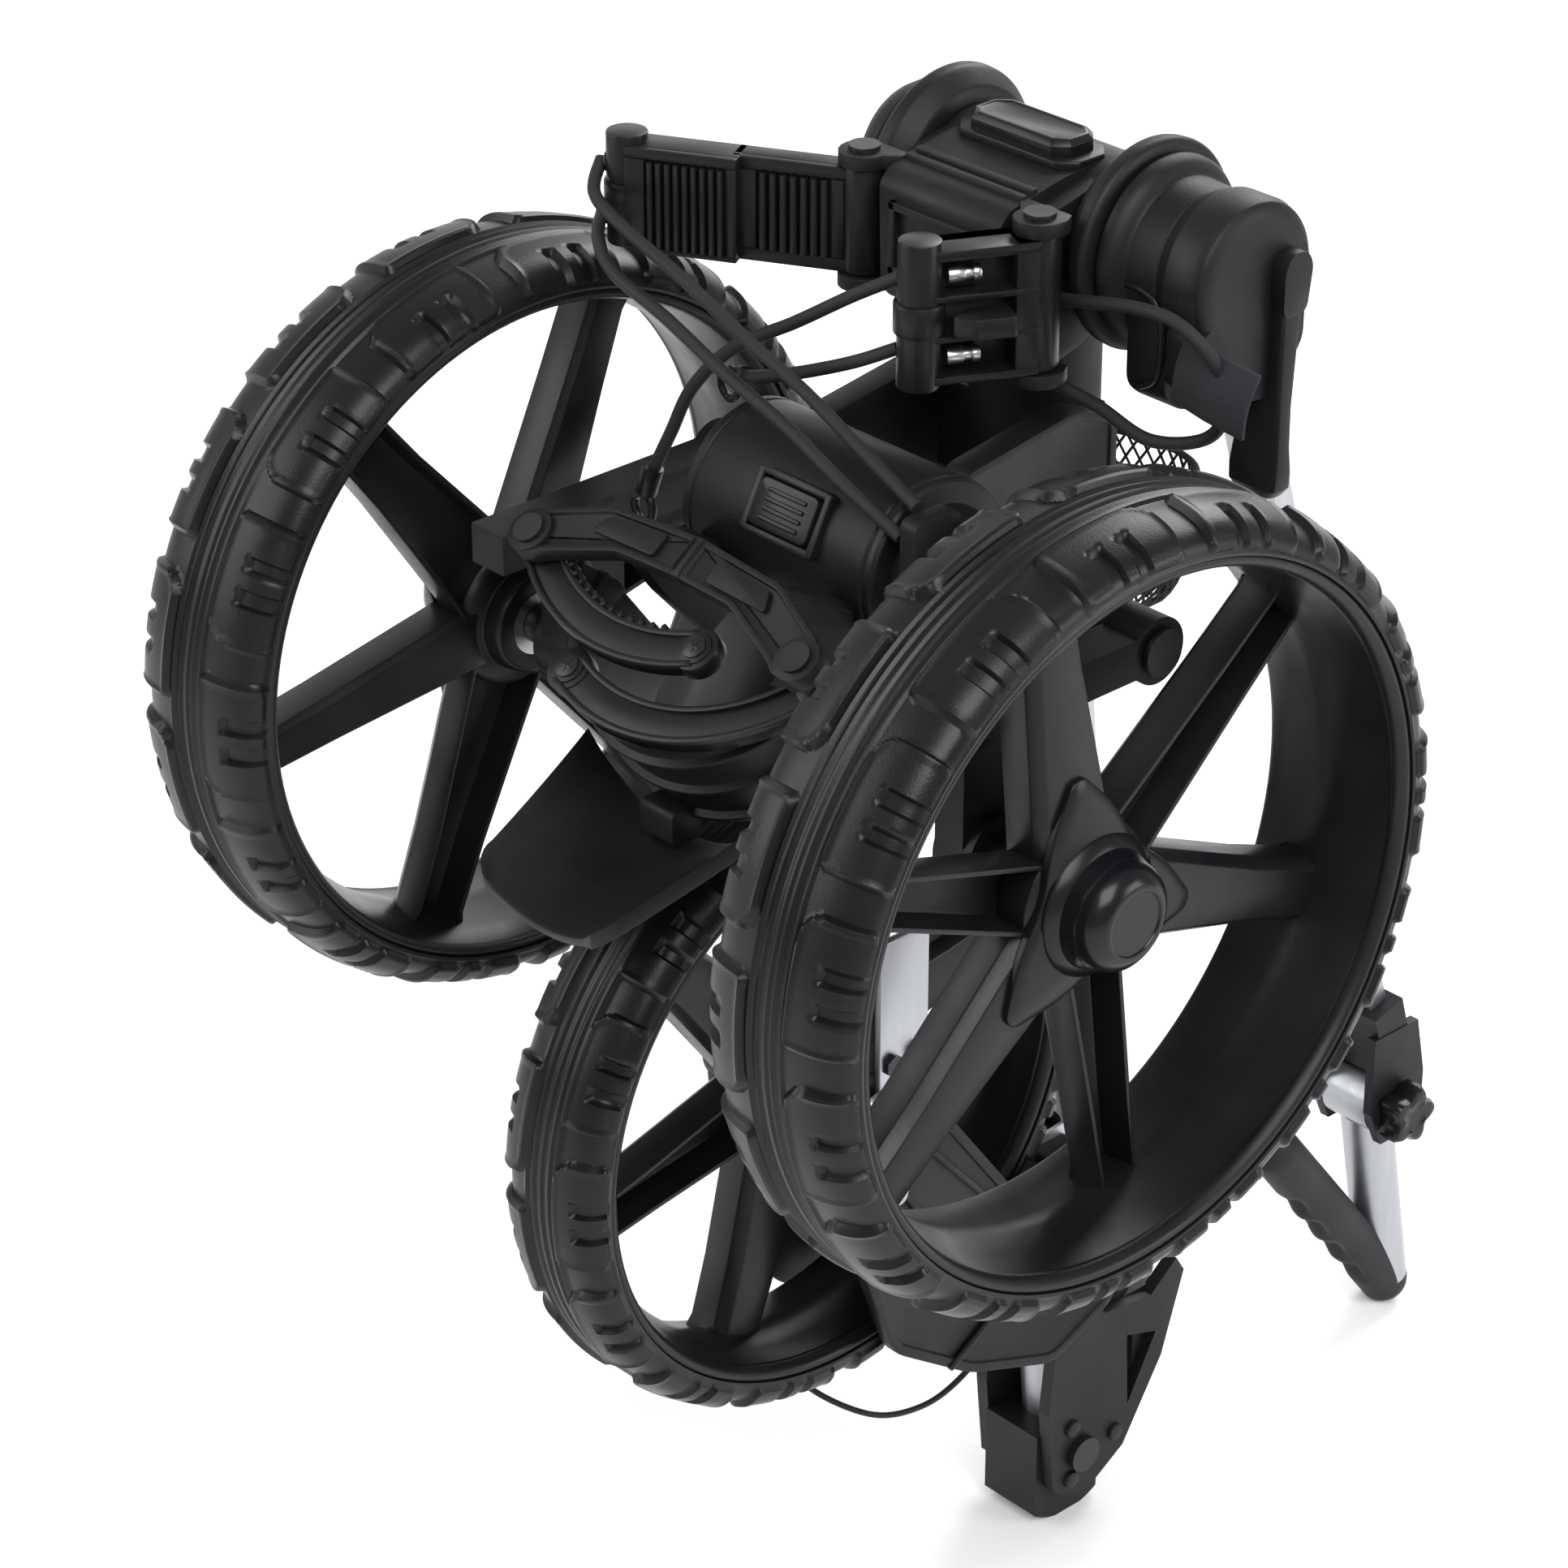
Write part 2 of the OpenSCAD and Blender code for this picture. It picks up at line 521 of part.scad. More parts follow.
// ---------- front arm ----------
module lower_tube() color(silver) at_axle() difference() {
    along_lower(lower_bottom) flat_tube(lower_d, tube_flat, (lower_top - lower_bottom) / cos(lean_angle));
    rod_x(knee_pin_d / 2, -60, 60, knee);
}
module knee_foot() color(black) at_axle() difference() {
    intersection() {
        rod_x(foot_r + foot_flat, -foot_w / 2, foot_w / 2, knee);
        box([-foot_w, foot_w], [knee[0] - 20, knee[0] + 17], [-axle_height, -374]);
    }
    along_lower(lower_bottom) flat_bar(lower_d + 2 * run, tube_flat + 2 * run, 200);
    rod_x(knee_pin_d / 2, -60, 60, knee);
}
fork_x0 = front_w / 2 + 7;
fork_t = 6;
module front_fork() color(black) at_axle() difference() {
    union() {
        both_sides() plate_x(fork_x0, fork_x0 + fork_t) {
            polygon([[132, -226], [155, -232], [156, -300], [120, -316], [72, -298], [29, -268], [4, -200],
                [-1, -154], [10, -134], [30, -134], [62, -176], [96, -222]]);
            translate(front_hub) circle(r = 18);
            polygon([[12, -140], [16, -110], [42, -110], [46, -150]]);
        }
        box([-fork_x0 - 1, fork_x0 + 1], [132, 155], [-298, -232]);
    }
    along_lower(lower_bottom) flat_bar(lower_d + 2 * run, tube_flat + 2 * run, 300);
    rod_x(axle_d / 2, -60, 60, front_hub);
    box([-60, 60], [spine_y(-222) - spine_d / 2 - 1.5, 220], [-330, -200]);
    // bolt holes of the silver bars
    for (y = [-7, 7]) rod_x(2.5, -80, 80, [front_hub[0] + y + 13, front_hub[1] + 21]);
}
module fork_bars() color(silver) at_axle() difference() {
    both_sides() plate_x(fork_x0 + fork_t + 0.1, fork_x0 + fork_t + 4)
        polygon([[17, -78], [40, -78], [40, -156], [28, -184], [22, -184], [17, -150]]);
    rod_x(9, -60, 60, front_hub);
    for (y = [-7, 7]) rod_x(2.5, -80, 80, [front_hub[0] + y + 13, front_hub[1] + 21]);
}
module fork_bolts() color(steel) at_axle() both_sides() for (y = [-7, 7])
    translate([fork_x0 + 0.5, front_hub[0] + y + 13, front_hub[1] + 21]) rotate([0, 90, 0]) {
        cylinder(d = 4.9, h = fork_t + 3.6);
        translate([0, 0, fork_t + 3.6]) cylinder(d = 9, h = 3, $fn = 6);
    }
module front_axle() color(steel) at_axle() {
    rod_x(axle_d / 2 - run, -fork_x0 - fork_t - 7, fork_x0 + fork_t + 7, front_hub);
    both_sides() rod_x(8, fork_x0 + fork_t + 4.2, fork_x0 + fork_t + 9, front_hub);
}
module at_front() at_axle() translate([0, front_hub[0], front_hub[1]]) children();
module tyre_front() color(black) at_front() tyre(front_r, front_w, front_lip);
module rim_front() color(soft_black) at_front() rim(front_w, front_lip, 12, front_hub_out);
module hub_caps_front() color(soft_black) at_front() difference() {
    translate([front_hub_out + gap, 0, 0]) rotate([0, 90, 0])
        cylinder(d = 40, h = fork_x0 - front_hub_out - 2 * gap);
    rod_x(axle_d / 2 + 1, -60, 60, [0, 0]);
}
module bearings_front() color(steel) at_front() bearings(front_w, front_hub_out);

// ---------- handle ----------
yoke_x0 = drum_x + 0.5;
yoke_x1 = journal_x - 0.5;
bar_at = [180, 148];
elbow = [252, 64];
strut_low = [356, -282];
module handle_yoke() color(black) at_axle() difference() {
    union() {
        both_sides() {
            rod_x(collar_r, yoke_x0, yoke_x1, drum);
            plate_x(yoke_x0, yoke_x1) polygon([[150, 206], [bar_at[0] + 10, bar_at[1] + 12],
                [bar_at[0] + 6, bar_at[1] - 10], [150, 142]]);
        }
        rod_x(11, -yoke_x1, yoke_x1, bar_at);
        plate_x(-16, 16) rail(bar_at, bar_at + 0.35 * (elbow - bar_at), 20);
    }
    rod_x(journal_r + run, -100, 100, drum);
    plate_x(-11.1, 11.1) rail(bar_at + 0.12 * (elbow - bar_at), elbow, 10.2);
}
// A straight rail of the given depth from a to b in the Y-Z plane
module rail(a, b, t) translate(a) rotate(atan2(b[1] - a[1], b[0] - a[0])) translate([0, -t / 2])
    square([norm(b - a), t]);
strut_angle = atan2(strut_low[0] - elbow[0], elbow[1] - strut_low[1]);
module strut_place() translate([0, strut_low[0], strut_low[1]]) rotate([strut_angle, 0, 0]) children();
module handle_strut() color(silver) at_axle() plate_x(-10.9, 10.9) {
    rail(bar_at + 0.14 * (elbow - bar_at), elbow, 10);
    translate(elbow) circle(d = 11);
    rail(elbow, strut_low + 0.02 * (elbow - strut_low), 10);
}
module handle_bracket() color(black) at_axle() difference() {
    union() {
        strut_place() translate([-17, -9, -2]) cube([34, 18, 36]);
        both_sides() plate_x(13, 17.5) polygon([[338, -262], [366, -262], [372, -290], [372, -306],
            [364, -318], [346, -318], [338, -300]]);
    }
    plate_x(-11.1, 11.1) rail(elbow, strut_low + 0.0199 * (elbow - strut_low), 10.2);
    rod_x(4, -60, 60, knob_at);
    box([-12.6, 12.6], [320, 400], [-360, knob_at[1] + handle_boss_r + gap]);
}
knob_at = [354, -302];
handle_boss_r = 14;
module handle_knob() color(soft_black) at_axle() {
    for (i = [0:4]) translate([18, knob_at[0], knob_at[1]]) rotate([i * 72, 0, 0]) translate([0, 10, 0])
        rotate([0, 90, 0]) cylinder(r = 5, h = 11);
    rod_x(11, 18, 30, knob_at);
    rod_x(4 - run, -22, 18, knob_at);
}
handle_foot = [handle_reach - handle_d / 2, handle_d / 2 - axle_height];
module handle_tube() color(silver) at_axle() difference() {
    union() {
        rod_x(handle_boss_r, -12.2, 12.2, knob_at);
        between(handle_foot + 0.02 * (knob_at - handle_foot), knob_at)
            cylinder(d = handle_d, h = 0.9 * norm(knob_at - handle_foot));
    }
    rod_x(4, -60, 60, knob_at);
}
grip_top = [296, -308];
grip_l = norm(handle_foot - grip_top);
module handle_grip() color(soft_black) at_axle() difference() {
    between(handle_foot, grip_top) rotate_extrude() polygon([[0, -handle_d / 2], [handle_d * 0.26, -handle_d * 0.43],
        [handle_d * 0.43, -handle_d * 0.26], [handle_d / 2, 0], [handle_d / 2, grip_l],
        [handle_d * 0.43, grip_l + handle_d * 0.26], [handle_d * 0.26, grip_l + handle_d * 0.43],
        [0, grip_l + handle_d / 2]]);
    between(handle_foot + 0.0199 * (knob_at - handle_foot), knob_at) cylinder(d = handle_d + 2, h = 200);
}
module between(a, b) translate([0, a[0], a[1]])
    rotate([atan2(a[0] - b[0], b[1] - a[1]), 0, 0]) children();

// ---------- soft parts ----------
module net_pouch() color(soft_black) at_axle() box([-30, 30], [176, 206], [-6, 58]);

// A cord is a round sweep along points chosen by hand
function unit(v) = v / norm(v);
function tangent(p, i) = unit(p[min(i + 1, len(p) - 1)] - p[max(i - 1, 0)]);
function side_of(t) = unit(cross(t, abs(t[2]) < 0.9 ? [0, 0, 1] : [0, 1, 0]));
function bez(p, i, t) = let(a = p[max(i - 1, 0)], b = p[i], c = p[i + 1], d = p[min(i + 2, len(p) - 1)])
    0.5 * ((2 * b) + (c - a) * t + (2 * a - 5 * b + 4 * c - d) * t * t + (3 * b - a - 3 * c + d) * t * t * t);
function smooth(p, n) = [for (i = [0:len(p) - 2], k = [0:n - 1]) bez(p, i, k / n), p[len(p) - 1]];
module cord(points, d, n = 2, sides = 8) {
    p = smooth(points, n);
    rings = [for (i = [0:len(p) - 1]) let(t = tangent(p, i), u = side_of(t), v = cross(t, u))
        [for (k = [0:sides - 1]) p[i] + d / 2 * (u * cos(k * 360 / sides) + v * sin(k * 360 / sides))]];
    m = len(p);
    polyhedron([for (r = rings) each r], concat(
        [[for (k = [0:sides - 1]) sides - 1 - k]],
        [for (i = [0:m - 2], k = [0:sides - 1])
            [i * sides + k, i * sides + (k + 1) % sides, (i + 1) * sides + (k + 1) % sides, (i + 1) * sides + k]],
        [[for (k = [0:sides - 1]) (m - 1) * sides + k]]));
}
bungee_d = 5;
cable_d = 2.5;
bungee_left_upper = [[-134.5, 37, 180], [-126, 26, 172], [-104, 20, 167], [-70, 20, 156], [-36, 20, 143],
    [-4, 20, 132], [28, 18, 120], [58.5, 15, 110]];
bungee_left_lower = [[-134.5, 37, 159], [-122, 24, 156], [-100, 12, 152], [-68, 10, 144], [-36, 10, 132],
    [-4, 10, 122], [28, 6, 113], [58.5, 7, 101]];
bungee_middle_upper = [[17, 46, 176], [-3, 42, 164], [-32, 40, 145], [-56, 32, 130], [-70, 24, 112],
    [-78, 20, 92], [-86, 16, 72]];
bungee_middle_lower = [[17, 45, 149], [2, 38, 141], [-22, 36, 130], [-44, 36, 121], [-58, 38, 116]];
bungee_right_route = [[41, 99, 160], [62, 96, 166], [84, 95, 171], [104, 96, 171], [118, 100, 160],
    [119, 108, 142], [108, 110, 124], [88, 102, 119], [64, 100, 125], [44, 97, 129]];
brake_cable_route = [[-35, 40, -277.5], [-34, 34, -296], [-20, 34, -314], [0, 52, -328], [2, 80, -337],
    [4, 102, -331], [8, 118, -312], [10, 131.5, -298]];
module bungee_left() color(black) at_axle() {
    cord(bungee_left_upper, bungee_d);
    cord(bungee_left_lower, bungee_d);
}
module bungee_middle() color(black) at_axle() {
    cord(bungee_middle_upper, bungee_d);
    cord(bungee_middle_lower, bungee_d);
}
module bungee_right() color(black) at_axle() cord(bungee_right_route, bungee_d);
module brake_cable() color(steel) at_axle() cord(brake_cable_route, cable_d);

spine_tube();
knee_casting();
knee_pin();
leg_shaft();
post_sleeve();
console_body();
console_shaft();
console_cap_left();
console_end_right();
push_button();
brake_lever();
lever_pin();
axle_housing();
housing_bracket();
latch_button();
lower_bracket_plate();
bag_base();
bag_rest();
bracket_pins();
lower_arm_left();
lower_arm_right();
arm_screws_left();
arm_screws_right();
upper_arm_left();
upper_arm_right();
upper_pads_left();
cord_crimps();
rear_leg_left();
rear_leg_right();
axle_left();
axle_right();
rim_left();
rim_right();
tyre_left();
tyre_right();
hub_cap_left();
hub_cap_right();
bearings_left();
bearings_right();
lower_tube();
knee_foot();
front_fork();
fork_bars();
fork_bolts();
front_axle();
rim_front();
tyre_front();
hub_caps_front();
bearings_front();
handle_yoke();
handle_strut();
handle_bracket();
handle_knob();
handle_tube();
handle_grip();
net_pouch();
bungee_left();
bungee_middle();
bungee_right();
brake_cable();
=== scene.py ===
"""Looks of a folded three-wheel golf push cart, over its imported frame."""

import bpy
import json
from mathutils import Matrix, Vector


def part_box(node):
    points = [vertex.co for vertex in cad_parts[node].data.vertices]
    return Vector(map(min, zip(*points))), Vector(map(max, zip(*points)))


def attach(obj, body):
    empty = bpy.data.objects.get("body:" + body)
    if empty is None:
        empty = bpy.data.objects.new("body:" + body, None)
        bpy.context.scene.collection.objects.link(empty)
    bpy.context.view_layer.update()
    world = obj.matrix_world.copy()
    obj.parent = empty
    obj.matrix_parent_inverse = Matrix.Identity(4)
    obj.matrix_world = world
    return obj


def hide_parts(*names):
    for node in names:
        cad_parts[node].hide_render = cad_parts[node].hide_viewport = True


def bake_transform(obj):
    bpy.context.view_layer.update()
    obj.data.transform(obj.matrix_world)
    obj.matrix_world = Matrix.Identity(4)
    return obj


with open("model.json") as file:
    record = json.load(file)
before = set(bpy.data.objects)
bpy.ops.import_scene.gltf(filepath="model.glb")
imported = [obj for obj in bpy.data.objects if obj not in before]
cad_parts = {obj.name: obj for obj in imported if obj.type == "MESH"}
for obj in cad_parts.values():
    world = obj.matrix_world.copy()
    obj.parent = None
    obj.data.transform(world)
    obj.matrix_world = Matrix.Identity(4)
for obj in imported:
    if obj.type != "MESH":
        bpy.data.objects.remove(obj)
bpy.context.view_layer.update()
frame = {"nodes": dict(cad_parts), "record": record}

import json
from math import atan2, cos, exp, hypot, pi, radians, sin, sqrt, tau

import bmesh
import bpy
from mathutils import Matrix, Vector

bl_info = {
    "name": "Folded push cart",
    "version": (1, 0, 0),
    "blender": (4, 5, 0),
    "location": "3D View > Sidebar > Cart",
    "description": "Detailed pieces, materials and a studio for a folded golf push cart",
    "category": "Object",
}

MM = 0.001
LOW, HIGH = (Vector(corner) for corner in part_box("tyre_right"))
WHEEL = (LOW + HIGH) / 2
# The rear axle line, about which the pieces are drawn
AXLE = Vector((0, WHEEL.y, WHEEL.z))
REAR_R = (HIGH.z - LOW.z) / 2 / MM
REAR_W = (HIGH.x - LOW.x) / MM
TRACK_HALF = WHEEL.x / MM
LOW, HIGH = (Vector(corner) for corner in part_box("tyre_front"))
FRONT_AT = ((LOW + HIGH) / 2 - AXLE) / MM
FRONT_R = (HIGH.z - LOW.z) / 2 / MM
FRONT_W = (HIGH.x - LOW.x) / MM

REAR_LIP, FRONT_LIP = 131, 114          # radius of a rim at its lips
REAR_BEAD, FRONT_BEAD = 136, 119        # radius where a tyre meets its rim
REAR_LUGS, FRONT_LUGS = 15, 14          # tread blocks on each shoulder
LEFT_PHASE, RIGHT_PHASE, FRONT_PHASE = 8, 100, 12   # first closed spoke, degrees
REAR_HUB, FRONT_HUB = 18, 10            # how far a hub reaches out from the wheel's middle
KNOB = (354, -302)                      # place of the handle's knob pin, as (y, z)
LOWER_PIN, LOWER_PIN_R = 71, 9          # side place and boss radius of the lower pins
CORD, CABLE = 5.0, 2.5                  # thickness of the elastic cords and of the brake cable
CLOSED_WIDE = (19, 17.5, 13, 12.2, 14.5)   # half widths of a closed spoke, from the hub outwards
OPEN_WIDE = (14, 13, 10, 9, 10.5)       # the same for an open spoke

# Local places about the rear axle line, in millimetres, as part.scad has them
TILT = Matrix.Translation((0, -48, 70)) @ Matrix.Rotation(radians(36.87), 4, "X")
LEFT_ARM = Matrix.Translation((-45, 87, 149)) @ Matrix.Rotation(radians(209), 4, "Z")
RIGHT_ARM = Matrix.Translation((45, 87, 139)) @ Matrix.Rotation(radians(243), 4, "Z")
LATCH = (Matrix.Translation((4, 34, 77)) @ Matrix.Rotation(radians(62), 4, "X")
         @ Matrix.Translation((0, 0, 32)))
DRUM = (138, 174)


# ---------- mesh tools, in millimetres about the rear axle line ----------
def prism(bm, outline, lo, hi, plane="x"):
    """A closed prism over an outline, from lo to hi along the axis that plane names."""
    place = {"x": lambda a, b, h: (h, a, b),
             "y": lambda a, b, h: (a, h, b),
             "z": lambda a, b, h: (a, b, h)}[plane]
    rings = [[bm.verts.new(place(a, b, h)) for a, b in outline] for h in (lo, hi)]
    for ring in rings:
        bm.faces.new(ring)
    bridge(bm, rings[0], rings[1])


def bridge(bm, one, two):
    for i in range(len(one)):
        j = (i + 1) % len(one)
        bm.faces.new((one[i], one[j], two[j], two[i]))


def block(bm, x, y, z):
    prism(bm, [(x[0], y[0]), (x[1], y[0]), (x[1], y[1]), (x[0], y[1])], z[0], z[1], "z")


def loft(bm, sections):
    """A closed skin over sections of the same number of points."""
    rings = [[bm.verts.new(p) for p in section] for section in sections]
    for one, two in zip(rings, rings[1:]):
        bridge(bm, one, two)
    bm.faces.new(rings[0])
    bm.faces.new(rings[-1])


def lathe(bm, profile, at=(0, 0), steps=96, closed=False):
    """Turns (x, radius) points about an X axis through at = (y, z)."""
    rings = []
    for x, r in profile:
        if r < 1e-6:
            rings.append([bm.verts.new((x, at[0], at[1]))])
        else:
            rings.append([bm.verts.new((x, at[0] + r * cos(tau * i / steps),
                                        at[1] + r * sin(tau * i / steps))) for i in range(steps)])
    pairs = list(zip(rings, rings[1:])) + ([(rings[-1], rings[0])] if closed else [])
    for one, two in pairs:
        if len(one) == 1 and len(two) == 1:
            continue
        for i in range(steps):
            j = (i + 1) % steps
            if len(one) == 1:
                bm.faces.new((one[0], two[i], two[j]))
            elif len(two) == 1:
                bm.faces.new((one[i], one[j], two[0]))
            else:
                bm.faces.new((one[i], one[j], two[j], two[i]))


def rod(bm, a, b, r, steps=24):
    sweep(bm, [Vector(a), Vector(b)], r, steps)


def spline(points, n=6):
    """Points along the smooth curve that the cords follow."""
    p = [Vector(q) for q in points]
    out = []
    for i in range(len(p) - 1):
        a, b, c, d = p[max(i - 1, 0)], p[i], p[i + 1], p[min(i + 2, len(p) - 1)]
        for k in range(n):
            t = k / n
            out.append(0.5 * (2 * b + (c - a) * t + (2 * a - 5 * b + 4 * c - d) * t * t
                              + (3 * b - a - 3 * c + d) * t ** 3))
    return out + [p[-1]]


def sweep(bm, path, radius, sides=12):
    """A closed round sweep; radius is a number, or a function of share of length and angle."""
    length = sum((b - a).length for a, b in zip(path, path[1:]))
    side, done, rings = None, 0.0, []
    for i, p in enumerate(path):
        way = (path[min(i + 1, len(path) - 1)] - path[max(i - 1, 0)]).normalized()
        if side is None:
            side = way.cross(Vector((1, 0, 0)) if abs(way.x) < 0.9 else Vector((0, 1, 0))).normalized()
        side = (side - way * side.dot(way)).normalized()
        over = way.cross(side)
        if i:
            done += (p - path[i - 1]).length
        ring = []
        for k in range(sides):
            t = tau * k / sides
            r = radius(done / length, t) if callable(radius) else radius
            ring.append(bm.verts.new(p + r * (cos(t) * side + sin(t) * over)))
        rings.append(ring)
    for one, two in zip(rings, rings[1:]):
        bridge(bm, one, two)
    bm.faces.new(rings[0])
    bm.faces.new(rings[-1])


def rounded(outline, r, n=4):
    """An outline with each corner cut to an arc of radius r, or less where its sides are short."""
    out = []
    for i, q in enumerate(outline):
        p, b, c = Vector(outline[i - 1]), Vector(q), Vector(outline[(i + 1) % len(outline)])
        cut = min(r, (p - b).length * 0.45, (c - b).length * 0.45)
        start, end = b + (p - b).normalized() * cut, b + (c - b).normalized() * cut
        for k in range(n + 1):
            t = k / n
            out.append(tuple((1 - t) ** 2 * start + 2 * t * (1 - t) * b + t * t * end))
    return out


def piece(name, bm, mat, body, nodes=(), bevel=0.0, steps=2, place=None, sharp=38, crease=30):
    """Finishes a mesh, rides it on its body and lets it stand for CAD nodes."""
    if place is not None:
        bmesh.ops.transform(bm, matrix=place, verts=bm.verts)
    bmesh.ops.recalc_face_normals(bm, faces=bm.faces)
    if bevel:
        edges = [e for e in bm.edges if len(e.link_faces) == 2
                 and e.calc_face_angle(0) > radians(crease)]
        bmesh.ops.bevel(bm, geom=edges, offset=bevel, offset_type="OFFSET", segments=steps, profile=0.5,
                        affect="EDGES", material=-1, clamp_overlap=True)
    bmesh.ops.transform(bm, matrix=Matrix.Translation(AXLE) @ Matrix.Scale(MM, 4), verts=bm.verts)
    bmesh.ops.recalc_face_normals(bm, faces=bm.faces)
    mesh = bpy.data.meshes.new(name)
    bm.to_mesh(mesh)
    bm.free()
    mesh.materials.append(mat)
    mesh.polygons.foreach_set("use_smooth", [True] * len(mesh.polygons))
    mesh.set_sharp_from_angle(angle=radians(sharp))
    obj = bpy.data.objects.new(name, mesh)
    bpy.context.scene.collection.objects.link(obj)
    if body:
        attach(obj, body)
    if nodes:
        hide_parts(*nodes)
    return obj


# ---------- materials ----------
def looks(name, colour, rough, metal=0.0, grain=1400, bump=0.12, mottle=0.08, wear_and_edge_highlight=0.25, streak=None):
    """A procedural surface: fine moulded grain, broad mottling of the sheen and lighter edges, partly
    wear and partly a painted highlight along the edges.
    """
    name = "cart_" + name
    mat = bpy.data.materials.get(name)
    if mat:
        return mat
    mat = bpy.data.materials.new(name)
    mat.use_nodes = True
    nodes, links = mat.node_tree.nodes, mat.node_tree.links
    shader = nodes["Principled BSDF"]
    shader.inputs["Metallic"].default_value = metal
    shader.inputs["Specular IOR Level"].default_value = 0.5 if metal else 0.26
    place = nodes.new("ShaderNodeTexCoord")
    source = place.outputs["Object"]
    if streak:
        stretch = nodes.new("ShaderNodeMapping")
        stretch.inputs["Scale"].default_value = streak
        links.new(source, stretch.inputs["Vector"])
        source = stretch.outputs["Vector"]
    fine, broad = nodes.new("ShaderNodeTexNoise"), nodes.new("ShaderNodeTexNoise")
    fine.inputs["Scale"].default_value = grain
    fine.inputs["Detail"].default_value = 3
    broad.inputs["Scale"].default_value = 28
    broad.inputs["Detail"].default_value = 4
    for noise in (fine, broad):
        links.new(source, noise.inputs["Vector"])
    tint = nodes.new("ShaderNodeMix")
    tint.data_type = "RGBA"
    tint.inputs[6].default_value = (*(c * 0.8 for c in colour), 1)
    tint.inputs[7].default_value = (*(c * 1.25 for c in colour), 1)
    links.new(broad.outputs["Fac"], tint.inputs[0])
    # lighter edges where pointiness is high: partly wear, partly a painted highlight that outlines the
    # edges
    edge = nodes.new("ShaderNodeMix")
    edge.data_type = "RGBA"
    edge.inputs[7].default_value = (*(min(1, c * 1.8 + 0.006) for c in colour), 1)
    geometry, edge_wear_highlight_mask = nodes.new("ShaderNodeNewGeometry"), nodes.new("ShaderNodeMapRange")
    edge_wear_highlight_mask.inputs["From Min"].default_value = 0.53
    edge_wear_highlight_mask.inputs["From Max"].default_value = 0.68
    edge_wear_highlight_mask.inputs["To Max"].default_value = wear_and_edge_highlight
    links.new(geometry.outputs["Pointiness"], edge_wear_highlight_mask.inputs["Value"])
    links.new(edge_wear_highlight_mask.outputs["Result"], edge.inputs[0])
    links.new(tint.outputs[2], edge.inputs[6])
    links.new(edge.outputs[2], shader.inputs["Base Color"])
    sheen = nodes.new("ShaderNodeMapRange")
    sheen.inputs["From Min"].default_value = 0.3
    sheen.inputs["From Max"].default_value = 0.7
    sheen.inputs["To Min"].default_value = rough - mottle
    sheen.inputs["To Max"].default_value = rough + mottle
    links.new(broad.outputs["Fac"], sheen.inputs["Value"])
    links.new(sheen.outputs["Result"], shader.inputs["Roughness"])
    relief = nodes.new("ShaderNodeBump")
    relief.inputs["Strength"].default_value = bump
    relief.inputs["Distance"].default_value = 0.0003
    links.new(fine.outputs["Fac"], relief.inputs["Height"])
    links.new(relief.outputs["Normal"], shader.inputs["Normal"])
    return mat


def colours():
    return bpy.context.scene.cart_colours


def black():
    return looks("black_plastic", colours().casing, 0.36)


def grained():
    return looks("grained_plastic", colours().casing, 0.5, grain=900, bump=0.3)


def gloss():
    return looks("gloss_plastic", colours().casing, 0.26, bump=0.05, wear_and_edge_highlight=0.15)


def silver():
    return looks("silver_tube", colours().tube, 0.4, metal=1.0, grain=420, bump=0.05, mottle=0.06,
                 wear_and_edge_highlight=0.1, streak=(6, 6, 0.35))


def steel():
    return looks("bright_steel", (0.55, 0.55, 0.57), 0.28, metal=1.0, grain=600, bump=0.06, wear_and_edge_highlight=0.2)


def dark_metal():
    return looks("dark_metal", (0.03, 0.03, 0.033), 0.3, metal=0.7, grain=700, bump=0.06, wear_and_edge_highlight=0.3)


# the tyre's strong edge lightening is mostly a painted highlight that outlines the tread blocks, with a
# little wear
def rubber():
    return looks("tyre_rubber", colours().rubber, 0.34, grain=1100, bump=0.25, mottle=0.05, wear_and_edge_highlight=0.7)


def cord_rubber():
    return looks("cord_rubber", (0.016, 0.016, 0.018), 0.6, grain=2600, bump=0.5, wear_and_edge_highlight=0.1)


def woven():
    return looks("woven_fabric", (0.02, 0.021, 0.024), 0.8, grain=2200, bump=0.8, wear_and_edge_highlight=0.1)


SLOTS = {"black_plastic": grained, "soft_black": black, "gloss_black": gloss, "silver_tube": silver,
         "steel": steel, "tyre_rubber": rubber, "cord_rubber": cord_rubber, "net_fabric": woven}


def paint_frame():
    """Every CAD node gets its procedural finish and softened edges."""
    slots = {s["node"]: s["material_slot"] for s in frame["record"]["subparts"]}
    dark = {"bracket_pins", "leg_shaft", "knee_pin", "fork_bolts", "axle_left", "axle_right",
            "front_axle"}
    for node, obj in frame["nodes"].items():
        mat = dark_metal() if node in dark else SLOTS[slots[node]]()
        for slot in obj.material_slots:
            slot.link = "OBJECT"
            slot.material = mat
        soft = obj.modifiers.new("softened_edges", "BEVEL")
        soft.width = colours().blur
        soft.segments = 2
        soft.limit_method = "ANGLE"
        soft.angle_limit = radians(42)


